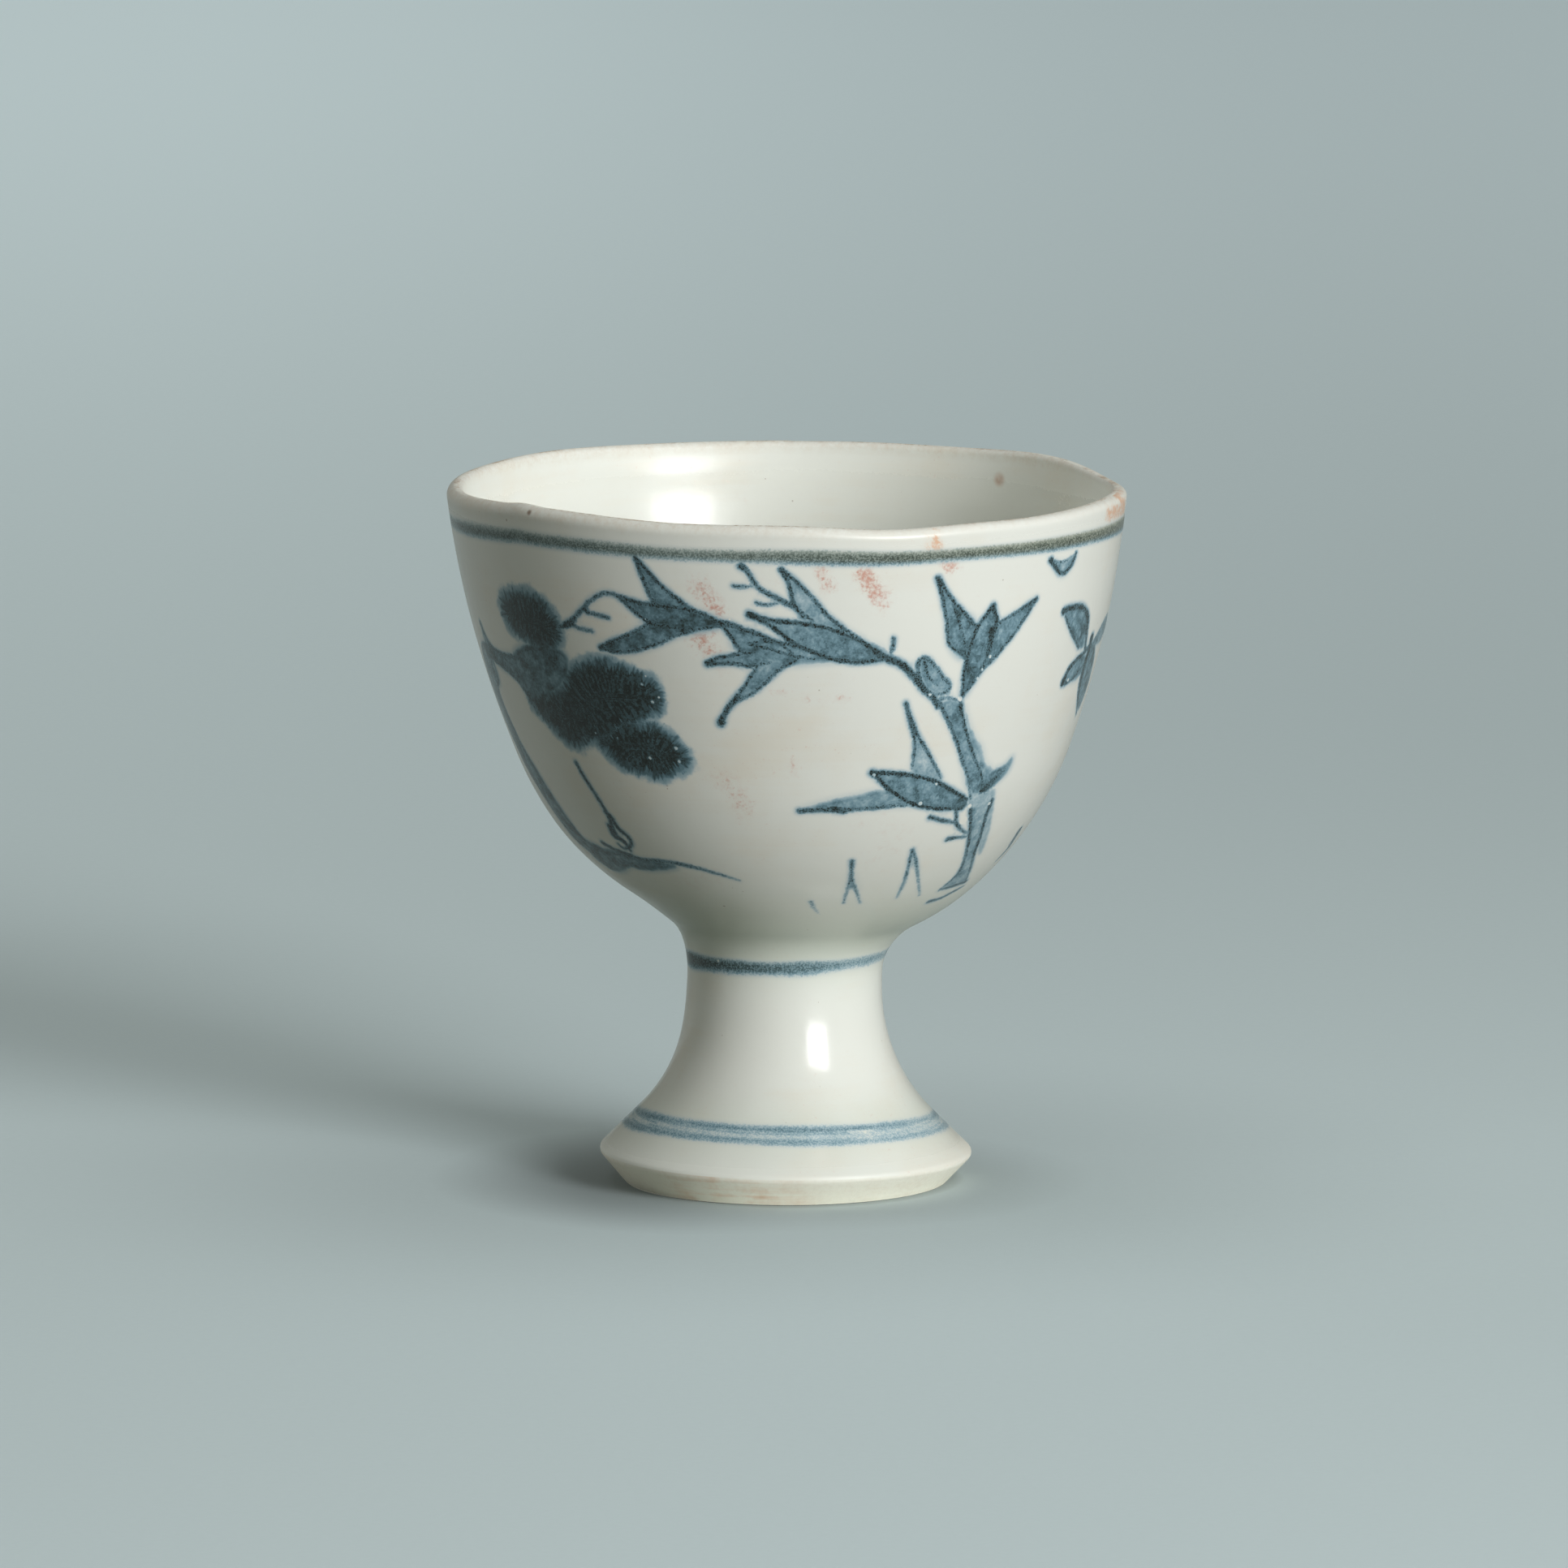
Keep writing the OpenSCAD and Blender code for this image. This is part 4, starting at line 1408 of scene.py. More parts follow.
@dataclass(frozen=True)
class CobaltLayers:
    """Strength of the painted layers and of their bleeding, with the noises that they take after."""

    bench: Bench
    take: Sockets
    fine: Socket
    ragged: Socket
    mottle: Socket
    clots: Socket

    def line(self) -> tuple[Socket, Socket]:
        """Drawn lines: a pale body with a dark, grainy core.

        Returns:
            The strength of the lines and of their bleeding.
        """
        bench, line, tone = self.bench, self.take["Line"], self.take["Line Tone"]
        edge = bench.weigh((self.fine, 0.26), (self.ragged, 0.16), start=line)
        body = bench.times(bench.step(edge, 0.22, -0.17), tone, bench.weigh((self.mottle, 0.6), start=0.78))
        core = bench.times(bench.step(edge, 0.12, -0.13), tone, bench.weigh((self.mottle, 1.1), start=1.26))
        fade = bench.weigh((self.mottle, 0.5), start=0.34)
        bleed = bench.times(bench.step(line, 0.55, -0.15), tone, fade)
        return bench.most(body, bench.times(core, self.clots)), bleed

    def wash(self) -> tuple[Socket, Socket]:
        """Washes, which gather along their brim.

        Returns:
            The strength of the washes and of their bleeding.
        """
        bench, wash, tone = self.bench, self.take["Wash"], self.take["Wash Tone"]
        edge = bench.weigh((self.ragged, 0.34), (self.fine, 0.16), start=wash)
        laid = bench.times(bench.step(edge, 0.34, -0.3), tone)
        clots = bench.times(bench.step(self.mottle, -0.06, 0.2), self.clots)
        shades = bench.weigh((self.mottle, 1.6), (self.ragged, 0.6), (self.fine, 0.8), start=0.96)
        shades = bench.weigh((clots, 0.36), (bench.step(wash, -0.5, -0.05), 0.2), start=shades)
        return bench.times(laid, shades), bench.times(bench.step(wash, 0.9, -0.1), tone, 0.42)

    def pine(self) -> tuple[Socket, Socket]:
        """Pine tufts, whose needles stand out from their edges.

        Returns:
            The strength of the needles and of their halo.
        """
        bench, pine = self.bench, self.take["Pine"]
        run = bench.times(self.take["Needle"], 3.2)
        across = bench.add("CombineXYZ", run, bench.times(pine, 0.7))
        needles = bench.noise(across.outputs[0], 1.0, 2.0, 0.55)
        edge = bench.weigh((needles, 1.1), (self.fine, 0.25), (self.ragged, 0.65), start=pine)
        depth = bench.step(bench.weigh((needles, 1.6), (self.mottle, 0.8), start=edge), -0.14, -0.72)
        streaks = bench.step(bench.weigh((needles, 1.2), (self.fine, 0.6)), -0.14, 0.12)
        dark = bench.times(streaks, depth, bench.weigh((self.clots, 0.45), start=0.55))
        laid = bench.weigh((dark, 0.42), (depth, 0.24), (self.fine, 0.3), (self.mottle, 0.4), start=0.52)
        halo = bench.weigh((self.mottle, 1.2), (self.ragged, 0.2), start=pine)
        inked = bench.times(laid, bench.step(edge, 0.32, -0.2))
        return inked, bench.times(bench.step(halo, 0.85, -0.2), 0.44)

    def ring(self) -> tuple[Socket, Socket]:
        """Lines round the cup.

        Returns:
            The strength of the lines and of their bleeding.
        """
        bench, ring, tone = self.bench, self.take["Ring"], self.take["Ring Tone"]
        edge = bench.weigh((self.fine, 0.3), (self.ragged, 0.18), start=ring)
        laid = bench.times(bench.step(edge, 0.4, -0.4), tone)
        shades = bench.weigh((self.clots, 0.46), (self.mottle, 0.5), (self.fine, 0.5), start=0.8)
        return bench.times(laid, shades), bench.times(bench.step(ring, 0.6, -0.1), tone, 0.34)


@dataclass(frozen=True)
class CobaltLook:
    """Colours of the painting by strength, blue on the bowl and greyer where the rim line burned out."""

    blue: tuple[tuple[float, Colour], ...] = (
        (0.0, pigment(214, 220, 218)), (0.2, pigment(170, 192, 200)), (0.38, pigment(120, 152, 165)),
        (0.52, pigment(89, 119, 130)), (0.68, pigment(63, 86, 92)), (0.84, pigment(42, 55, 54)),
        (1.0, pigment(25, 31, 28)),
    )
    grey: tuple[tuple[float, Colour], ...] = (
        (0.0, pigment(214, 215, 204)), (0.3, pigment(160, 166, 152)), (0.55, pigment(112, 120, 107)),
        (0.75, pigment(74, 82, 73)), (1.0, pigment(44, 51, 46)),
    )
    full: float = 1.25

    def group(self) -> Tree:
        """Node group that turns the painted layers into a colour and its cover.

        Returns:
            The group's tree.
        """
        inputs = [layer.value[0].replace("_", " ").title() for layer in Layer if layer is not Layer.RUST]
        bench, take, made = new_group("Cobalt painting", inputs, ["Cover"])
        where = take["Where"]
        layers = CobaltLayers(
            bench, take, bench.noise(where, 5.0, 2.0, 0.6), bench.noise(where, 2.0, 2.0),
            bench.noise(where, 0.9, 3.0, 0.6), bench.step(bench.noise(where, 7.5, 1.0), -0.12, 0.12),
        )
        parts = (layers.line(), layers.wash(), layers.pine(), layers.ring())
        line, wash, pine, ring = (ink for ink, _ in parts)
        soft = bench.most(*(bleed for _, bleed in parts))
        inked = bench.math("ADD", bench.most(line, wash, pine), bench.times(soft, 0.25))
        holes = bench.most(bench.step(take["Pinhole"], 0.05, -0.05), bench.dots(where, 1.0, 0.1, 0.05))
        kept = bench.weigh((holes, -0.78), start=1.0)
        density = bench.times(bench.most(inked, ring, soft), kept)
        strength = bench.math("DIVIDE", density, self.full, clamp=True)
        on_ring = bench.times(bench.step(take["Ring"], 0.4, -0.05), take["Ring Hue"])
        colour = bench.mix(on_ring, bench.ramp(strength, self.blue), bench.ramp(strength, self.grey))
        bench.put(made, color=colour, cover=bench.step(density, 0.0, 0.3))
        return bench.tree


@dataclass(frozen=True)
class GlazeLook:
    """Clear, faintly green glaze with iron specks, over cream porcelain."""

    colour: Colour = pigment(232, 234, 227)
    cream: Colour = pigment(230, 227, 215)
    # Colour of pooled glaze, also laid outside as painted shade under the bowl and on the foot's slope.
    green: Colour = pigment(206, 214, 202)
    iron: Colour = pigment(120, 88, 62)
    freckle: Colour = pigment(196, 106, 74)
    amber: Colour = pigment(222, 158, 106)
    smear: Colour = pigment(176, 118, 72)
    worn: Colour = pigment(200, 182, 160)
    roughness: float = 0.17
    bump: float = 0.00002

    def group(self) -> Tree:
        """Node group for the glaze's colour, with its pooling and painted shade where given, its gloss and
        its surface.

        Returns:
            The group's tree.
        """
        bench, take, made = new_group("Fired glaze", ["Pool", "Rust", "Dull"], ["Roughness", "Height"])
        where = take["Where"]
        clouds = bench.noise(where, 0.12, 3.0, 0.55)
        fine = bench.noise(where, 4.0, 2.0, 0.6)
        turned = bench.noise(bench.stretch(where, (0.05, 0.05, 1.6)), 1.0, 3.0, 0.6)
        creamy = bench.step(bench.weigh((clouds, 1.0), (turned, 0.25)), -0.05, 0.3)
        colour = bench.mix(creamy, self.colour, self.cream)
        # Greener where the glaze pools, and painted shade outside under the bowl and on the foot's slope.
        colour = bench.mix(take["Pool"], colour, self.green)
        dust = bench.times(bench.step(fine, 0.13, 0.3), bench.step(clouds, -0.1, 0.2))
        colour = bench.mix(bench.times(dust, 0.2), colour, self.freckle)
        specks = bench.most(bench.dots(where, 0.45, 0.05, 0.3), bench.dots(where, 1.3, 0.07, 0.08))
        colour = bench.mix(bench.times(specks, 0.5), colour, self.iron)
        patch, freckled = bench.noise(where, 1.6, 3.0, 0.65), take["Rust"]
        grains = bench.step(bench.weigh((freckled, 0.5), (fine, 0.9), (patch, 0.7)), 0.1, 0.55)
        grains = bench.times(grains, bench.step(freckled, 0.02, 0.6))
        smear = bench.times(bench.step(bench.weigh((freckled, 1.0), (patch, 1.2)), 0.1, 1.0), 0.22)
        height = bench.split(where)["Z"]
        rust = bench.mix(bench.step(height, 47.4, 48.6), self.freckle, self.amber)
        colour = bench.mix(bench.most(bench.times(grains, 0.66), smear), colour, rust)
        lip = bench.step(height, 49.6, 50.9)
        rubbed = bench.times(bench.step(bench.weigh((patch, 0.8), (fine, 0.5)), -0.3, 0.35), lip)
        colour = bench.mix(bench.times(rubbed, 0.5), colour, self.worn)
        handled = bench.most(bench.step(height, 48.2, 51.2), bench.step(height, 3.2, 2.2))
        matt = bench.weigh((clouds, 0.08), (fine, 0.04), (handled, 0.3), start=self.roughness)
        matt = bench.weigh((take["Dull"], 1.0), start=matt)
        peel = bench.noise(where, 0.8, 2.0)
        relief = bench.weigh((peel, 0.7), (turned, 0.25), (fine, 0.05), start=0.5)
        bench.put(made, color=colour, roughness=matt, height=relief)
        return bench.tree


@dataclass(frozen=True)
class BareLook:
    """Fired porcelain without glaze: cream, matt, with an iron flush."""

    colour: Colour = pigment(238, 238, 229)
    flush: Colour = pigment(214, 160, 122)
    soil: Colour = pigment(168, 144, 116)
    roughness: float = 0.6
    bump: float = 0.00003

    def group(self) -> Tree:
        """Node group for the bare clay's colour, gloss and surface.

        Returns:
            The group's tree.
        """
        bench, take, made = new_group("Bare porcelain", ["Flush", "Soil"], ["Roughness", "Height"])
        where = take["Where"]
        clouds = bench.noise(where, 0.35, 3.0, 0.6)
        fine = bench.noise(where, 3.0, 3.0, 0.6)
        turned = bench.noise(bench.stretch(where, (0.1, 0.1, 3.0)), 1.0, 2.0)
        flushed = bench.step(bench.weigh((clouds, 1.0), (turned, 0.6)), -0.1, 0.3)
        colour = bench.mix(bench.times(flushed, take["Flush"]), self.colour, self.flush)
        soiled = bench.step(bench.weigh((fine, 1.0), (clouds, 0.8)), -0.12, 0.3)
        colour = bench.mix(bench.times(soiled, take["Soil"]), colour, self.soil)
        matt = bench.weigh((fine, 0.15), start=self.roughness)
        relief = bench.weigh((fine, 0.6), (turned, 0.6), start=0.5)
        bench.put(made, color=colour, roughness=matt, height=relief)
        return bench.tree


def new_material(name: str) -> tuple[Material, Bench, Node, Socket]:
    """Starts a material.

    Args:
        name: the material's name.

    Returns:
        The material, a bench for its tree, its main shader, and places on the piece in millimetres.
    """
    material = bpy.data.materials.new(name)
    material.use_nodes = True
    bench = Bench(material.node_tree)
    return material, bench, material.node_tree.nodes["Principled BSDF"], bench.places()


class Finishes:
    """The cup's materials."""

    iron_spot = (15.57, 17.05, 48.73)
    lip_pit = (-18.3, -16.2, 50.75)
    foot_scorch = (-3.4, -11.4, 0.1)
    dull_outside = 0.02
    dull_inside = 0.09
    line_shades = (pigment(38, 60, 78), pigment(78, 104, 124))

    def __init__(self) -> None:
        """Builds the shared node groups."""
        self.glaze, self.bare = GlazeLook(), BareLook()
        self.glaze_group = self.glaze.group()
        self.bare_group = self.bare.group()
        self.cobalt_group = CobaltLook().group()

    def painted(self) -> Material:
        """Glaze over the painting, for the outside.

        Returns:
            The material.
        """
        material, bench, shader, where = new_material("painted_glaze")
        layers = {layer.value[0]: bench.attribute(layer.value[0]) for layer in Layer}
        rust = layers.pop(Layer.RUST.value[0])
        # Pooled glaze with painted shade under the bowl and on the foot's slope.
        pool = bench.attribute("pool")
        look = bench.group(self.glaze_group, where=where, pool=pool, rust=rust, dull=self.dull_outside)
        painting = bench.group(self.cobalt_group, where=where, **layers)
        colour = bench.mix(painting.outputs["Cover"], look.outputs["Color"], painting.outputs["Color"])
        pit = bench.times(bench.near(where, self.lip_pit, 0.12, 0.34), 0.8)
        bench.put(shader, base_color=bench.mix(pit, colour, self.glaze.iron))
        bench.surface(shader, look, self.glaze.bump)
        return material

    def lining(self) -> Material:
        """Plain glaze, for the inside.

        Returns:
            The material.
        """
        material, bench, shader, where = new_material("lining_glaze")
        # Inside, this is only the glaze pooling towards the bottom, with no painted shade.
        pool = bench.attribute("pool")
        look = bench.group(self.glaze_group, where=where, pool=pool, rust=0.0, dull=self.dull_inside)
        ragged = bench.times(bench.step(bench.noise(where, 1.7, 2.0), -0.4, 0.12), 0.62)
        spot = bench.times(bench.near(where, self.iron_spot, 0.1, 0.72), ragged)
        bench.put(shader, base_color=bench.mix(spot, look.outputs["Color"], self.glaze.smear))
        bench.surface(shader, look, self.glaze.bump)
        return material

    def bare_clay(self, name: str, flush: float, soil: float, scorch: Floats = ()) -> Material:
        """Unglazed porcelain.

        Args:
            name: the material's name.
            flush: how strong the iron flush is.
            soil: how worn and soiled it is.
            scorch: middle of the one patch that the flush keeps to, in millimetres, if there is one.

        Returns:
            The material.
        """
        material, bench, shader, where = new_material(name)
        if scorch:
            flush = bench.math("MULTIPLY_ADD", bench.near(where, scorch, 1.5, 6.5), flush, 0.06)
        look = bench.group(self.bare_group, where=where, flush=flush, soil=soil)
        bench.put(shader, base_color=look.outputs["Color"])
        bench.surface(shader, look, self.bare.bump)
        return material

    def cobalt_ring(self) -> Material:
        """Cobalt paint of a line under the glaze.

        Returns:
            The material.
        """
        material, bench, shader, where = new_material("cobalt_line")
        shade = bench.step(bench.noise(where, 2.0, 3.0, 0.6), -0.3, 0.3)
        colour = bench.mix(shade, *self.line_shades)
        bench.put(shader, base_color=colour, roughness=bench.weigh((shade, 0.2), start=0.4))
        return material


def points_of(piece: Piece) -> Array:
    """Reads the points of a piece.

    Args:
        piece: the piece.

    Returns:
        Its points in millimetres, one row each.
    """
    flat = np.zeros(len(piece.data.vertices) * 3, np.float32)
    piece.data.vertices.foreach_get("co", flat)
    return flat.reshape(-1, 3).astype(float) / MM


def move_points(piece: Piece, points: Array) -> None:
    """Moves the piece's points, given in millimetres."""
    piece.data.vertices.foreach_set("co", (points * MM).astype(np.float32).ravel())
    piece.data.update()


def keep_values(piece: Piece, name: str, values: Array) -> None:
    """Gives the piece's points a value each, under an attribute's name."""
    attribute = piece.data.attributes.new(name, "FLOAT", "POINT")
    attribute.data.foreach_set("value", values.astype(np.float32))


@dataclass(frozen=True)
class Workshop:
    """Throws pieces on the cup's axis and lets them stray as the hand-made cup does."""

    throwing: Throwing
    columns: int = 240
    weld: float = MM / 500
    sharp: float = 35.0

    def throw(self, name: str, section: Points, closed: bool) -> Piece:
        """Extrudes a half section point by point and spins it round the axis.

        Args:
            name: the piece's name.
            section: the half section's points, as radius and height in millimetres.
            closed: whether its end joins its start; otherwise both lie on the axis.

        Returns:
            The piece, with its place in its mesh.
        """
        bpy.ops.object.select_all(action="DESELECT")
        start = (section[0][0] * MM, 0, section[0][1] * MM)
        bpy.ops.mesh.primitive_circle_add(vertices=3, radius=MM, location=start)
        piece = bpy.context.object
        piece.name = piece.data.name = name
        bpy.ops.object.transform_apply(location=True, rotation=True, scale=True)
        bpy.ops.object.mode_set(mode="EDIT")
        bpy.ops.mesh.select_mode(type="VERT")
        bpy.ops.mesh.select_all(action="SELECT")
        bpy.ops.mesh.merge(type="CENTER")
        for here, there in zip(section, section[1:]):
            step = ((there[0] - here[0]) * MM, 0, (there[1] - here[1]) * MM)
            bpy.ops.mesh.extrude_region_move(TRANSFORM_OT_translate={"value": step})
        if closed:
            mesh = bmesh.from_edit_mesh(piece.data)
            for vert in mesh.verts:
                vert.select = len(vert.link_edges) == 1
            bmesh.update_edit_mesh(piece.data)
            bpy.ops.mesh.edge_face_add()
        bpy.ops.mesh.select_all(action="SELECT")
        bpy.ops.mesh.spin(steps=self.columns, angle=2 * math.pi, center=(0, 0, 0), axis=(0, 0, 1))
        bpy.ops.mesh.select_all(action="SELECT")
        bpy.ops.mesh.remove_doubles(threshold=self.weld)
        bpy.ops.mesh.normals_make_consistent(inside=False)
        bpy.ops.object.mode_set(mode="OBJECT")
        return piece

    def finish(self, piece: Piece, material: Material, slot: str, *nodes: str) -> None:
        """Lets a piece stray, shades and dresses it, and puts it in place of its solids.

        Args:
            piece: the piece.
            material: its finish.
            slot: name of a material slot; not used.
            nodes: the solids that it stands for.
        """
        points = points_of(piece)
        move_points(piece, points + self.throwing.stray(points))
        bpy.ops.object.select_all(action="DESELECT")
        piece.select_set(True)
        bpy.context.view_layer.objects.active = piece
        bpy.ops.object.shade_smooth_by_angle(angle=math.radians(self.sharp))
        piece.data.materials.clear()
        piece.data.materials.append(material)
        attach(piece, "root")
        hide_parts(*nodes)
        LOG.info("%s: %d faces, stands for %s", piece.name, len(piece.data.polygons), ", ".join(nodes))


@dataclass(frozen=True)
class Spacing:
    """Distance between a piece's rows: round outside its span of heights, fine in some spans, else even."""

    even: float
    fine: float = 0.2
    round: float = 0.1
    span: Span = (2.6, 50.0)
    fine_spans: tuple[Span, ...] = ()

    def at(self, height: float) -> float:
        """Distance to keep at a height in millimetres."""
        row = self.fine if any(low < height < high for low, high in self.fine_spans) else self.even
        return row if self.span[0] <= height <= self.span[1] else self.round


def spaced(path: Points, rows: Spacing, least: float = 0.03) -> Points:
    """Thins a path.

    Args:
        path: its points, close together.
        rows: gives the distance to keep between points.
        least: a last gap under this is closed up.

    Returns:
        The points that stay, with both ends.
    """
    kept, travel = [path[0]], 0.0
    for here, there in zip(path, path[1:]):
        travel += math.dist(here, there)
        if travel >= rows.at(there[1]):
            kept.append(there)
            travel = 0.0
    if math.dist(kept[-1], path[-1]) > 1e-6:
        kept[-1 if travel < least else len(kept):] = [path[-1]]
    return kept


def at_height(path: Points, height: float) -> Point:
    """The point at a height on a path that climbs."""
    radii, heights = np.array(path).T
    return (float(np.interp(height, heights, radii)), height)


@dataclass
class Glazes:
    """The glaze outside and inside, and the cobalt lines under it."""

    shape: CupShape
    workshop: Workshop
    finishes: Finishes
    camera: PhotoCamera
    outer_rows: Spacing = Spacing(0.6, fine_spans=((3.2, 6.1), (15.4, 17.5), (47.3, 49.3)))
    hidden_rows: Spacing = Spacing(1.6, round=0.2)
    line_rows: Spacing = Spacing(0.4, span=(0.0, 60.0))
    lining_rows: Spacing = Spacing(0.8, fine=0.3, span=(0.0, 49.9), fine_spans=((44.0, 60.0),))
    line_nodes: tuple[str, ...] = ("rim_line", "neck_line", "foot_line_upper", "foot_line_lower")
    refine_reach: Floats = (0.75, 0.4)
    bowl_span: Span = (17.6, 49.9)
    slack: float = 0.05
    # Greener, darker bands of pooled glaze and painted shade, under the bowl and on the foot's slope:
    # amount, height and width.
    pools_and_shade: tuple[Triple, ...] = ((0.9, 19.0, 3.2), (0.45, 5.0, 2.2))
    lining_pool: Triple = (0.8, 20.5, 16.0)

    def _line_bands(self) -> list[tuple[str, float, float]]:
        """Name of each painted line, and the heights between which it lies, from below."""
        bands = [(name, *(corner.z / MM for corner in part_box(name))) for name in self.line_nodes]
        return sorted(bands, key=lambda band: band[1])

    def _under_skin(self, t: float, low: float, high: float) -> Points:
        """Part of the skin between two heights.

        Args:
            t: how far the skin is moved outwards.
            low, high: the heights.

        Returns:
            The points, from below, with one at each height.
        """
        path = self.shape.stem_skin(t) + self.shape.bowl_skin(t)
        between = [point for point in path if low + CLEAR < point[1] < high - CLEAR]
        return [at_height(path, low), *between, at_height(path, high)]

    def _hidden_side(self) -> Points:
        """The outer glaze's hidden side, with a room for each painted line.

        Returns:
            Its points, from the lip down.
        """
        body_t, room_t = -self.shape.glaze_t, self.shape.cobalt_t - self.shape.glaze_t
        top = self.shape.bowl_skin(body_t)
        path, below = [], self.shape.edge_h
        for _, low, high in self._line_bands():
            path += spaced(self._under_skin(body_t, below, low), self.hidden_rows)
            path += spaced(self._under_skin(room_t, low, high), self.line_rows)
            below = high
        last = [point for point in top if point[1] > below + CLEAR]
        path.append(at_height(self.shape.stem_skin(body_t) + top, below))
        return (path + spaced(last, self.hidden_rows))[::-1]

    def build_outer(self) -> None:
        """Throws the outer glaze, paints it and dresses it."""
        outside = spaced(self.shape.stem_skin(0) + self.shape.bowl_skin(0)[1:], self.outer_rows)
        piece = self.workshop.throw("outer_glaze_skin", outside + self._hidden_side(), closed=True)
        points = points_of(piece)
        skin = BVHTree.FromPolygons(points.tolist(), [tuple(face.vertices) for face in piece.data.polygons])
        bowl = np.array(self.shape.bowl_skin(0))
        painting = Painting(Sight(self.camera, skin, self.workshop.throwing, bowl))
        for reach in self.refine_reach:
            self._refine(piece, painting.edges(), reach, bowl)
        self._paint(piece, painting)
        self.workshop.finish(piece, self.finishes.painted(), "clear_glaze", "outer_glaze")

    def _refine(self, piece: Piece, edges: kdtree.KDTree, reach: float, bowl: Array) -> None:
        """Splits the faces near the painting's edges and rounds them to the turned shape.

        Args:
            piece: the outer glaze.
            edges: search tree of the painting's edges.
            reach: how near a face is to be split.
            bowl: radius and height along the outside of the bowl, from below.
        """
        bpy.context.view_layer.objects.active = piece
        bpy.ops.object.mode_set(mode="EDIT")
        bpy.ops.mesh.select_mode(type="FACE")
        bpy.ops.mesh.select_all(action="DESELECT")
        mesh = bmesh.from_edit_mesh(piece.data)
        for face in mesh.faces:
            centre = face.calc_center_median() / MM
            near = edges.find(centre)[2]
            face.select_set(near < reach and face.normal.dot(Vector((centre.x, centre.y, 0))) > 0)
        bmesh.update_edit_mesh(piece.data)
        bpy.ops.mesh.subdivide(number_cuts=1, ngon=False)
        bpy.ops.object.mode_set(mode="OBJECT")
        points = points_of(piece)
        radius = np.hypot(points[:, 0], points[:, 1])
        true_radius = np.interp(points[:, 2], bowl[:, 1], bowl[:, 0])
        low, high = self.bowl_span
        on_bowl = (points[:, 2] > low) & (points[:, 2] < high) & (np.abs(radius - true_radius) < self.slack)
        points[on_bowl, :2] *= (true_radius / radius)[on_bowl, None]
        move_points(piece, points)

    def _paint(self, piece: Piece, painting: Painting) -> None:
        """Puts the painting on the piece's points, and the pooled glaze with painted shade under the bowl
        and on the foot's slope.

        Args:
            piece: the outer glaze.
            painting: what is painted on it.
        """
        points = points_of(piece)
        normals = np.zeros(len(points) * 3, np.float32)
        piece.data.vertices.foreach_get("normal", normals)
        upright = np.sqrt(np.clip(1 - normals.reshape(-1, 3)[:, 2] ** 2, 0, 1))
        canvas = Canvas(points, upright)
        painting.paint(canvas)
        for layer, values in canvas.layers.items():
            keep_values(piece, layer.value[0], values)
        # Pooled glaze and painted shade: greener and darker under the bowl and on the foot's slope.
        pool = sum(amount * bell(points[:, 2], height, width) for amount, height, width in self.pools_and_shade)
        keep_values(piece, "pool", pool)

    def build_lining(self) -> None:
        """Throws the glaze inside the bowl and dresses it."""
        inside = spaced(self.shape.inside_skin(0), self.lining_rows)
        hidden = spaced(self.shape.inside_skin(self.shape.glaze_t)[::-1], self.hidden_rows)
        piece = self.workshop.throw("lining_glaze_skin", inside[::-1] + hidden[::-1], closed=False)
        points = points_of(piece)
        most, floor, run = self.lining_pool
        keep_values(piece, "pool", np.clip(most - (points[:, 2] - floor) / run, 0, most))
        self.workshop.finish(piece, self.finishes.lining(), "clear_glaze", "lining_glaze")

    def build_lines(self) -> None:
        """Makes the painted lines that lie in the glaze's rooms."""
        material = self.finishes.cobalt_ring()
        body_t, room_t = -self.shape.glaze_t, self.shape.cobalt_t - self.shape.glaze_t
        for name, low, high in self._line_bands():
            face = spaced(self._under_skin(room_t, low, high), self.line_rows)
            back = spaced(self._under_skin(body_t, low, high), self.line_rows)
            piece = self.workshop.throw(name + "_paint", face + back[::-1], closed=True)
            self.workshop.finish(piece, material, "cobalt", name)


@dataclass
class Body:
    """The thrown porcelain: bowl, stem and the slip between them."""

    shape: CupShape
    workshop: Workshop
    finishes: Finishes
    rows: Spacing = Spacing(1.6, span=(2.6, 49.9))

    def build_bowl(self) -> None:
        """Throws the bowl, whose bare crest shows along the lip."""
        shape = self.shape
        joint = shape.joint_z + shape.slip_t
        path = shape.bowl_skin(-shape.glaze_t)
        skin = [point for point in path if point[1] > joint + CLEAR]
        foot = [(0.0, joint), at_height(path, joint)]
        turn = shape.crest_turn(shape.lip_r)
        crest = arc(shape.lip_centre, shape.lip_r, turn, 180 - turn, step=0.06)
        inside = shape.inside_skin(shape.glaze_t)
        section = foot + spaced(skin, self.rows) + crest + spaced(inside, self.rows)
        piece = self.workshop.throw("bowl_body", section, closed=False)
        clay = self.finishes.bare_clay("worn_lip_clay", flush=0.2, soil=0.7)
        self.workshop.finish(piece, clay, "porcelain_body", "bowl")

    def build_stem(self) -> None:
        """Throws the hollow stem, whose foot is bare underneath."""
        shape = self.shape
        path = shape.stem_skin(-shape.glaze_t) + shape.bowl_skin(-shape.glaze_t)
        skin = [point for point in path if point[1] < shape.joint_z - CLEAR]
        top, under = at_height(path, shape.joint_z), shape.foot_face()
        section = [top] + spaced(skin, self.rows)[::-1] + spaced(under, self.rows)
        piece = self.workshop.throw("stem_body", section, closed=True)
        scorch = self.finishes.foot_scorch
        clay = self.finishes.bare_clay("bare_foot_clay", flush=0.52, soil=0.1, scorch=scorch)
        self.workshop.finish(piece, clay, "porcelain_body", "stem")

    def dress_slip(self) -> None:
        """Gives the luting slip its finish."""
        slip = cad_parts["luting_slip"]
        slip.data.materials.clear()
        slip.data.materials.append(self.finishes.bare_clay("luting_slip_clay", flush=0.25, soil=0.4))
        LOG.info("luting_slip: kept as a solid, with a slip finish")


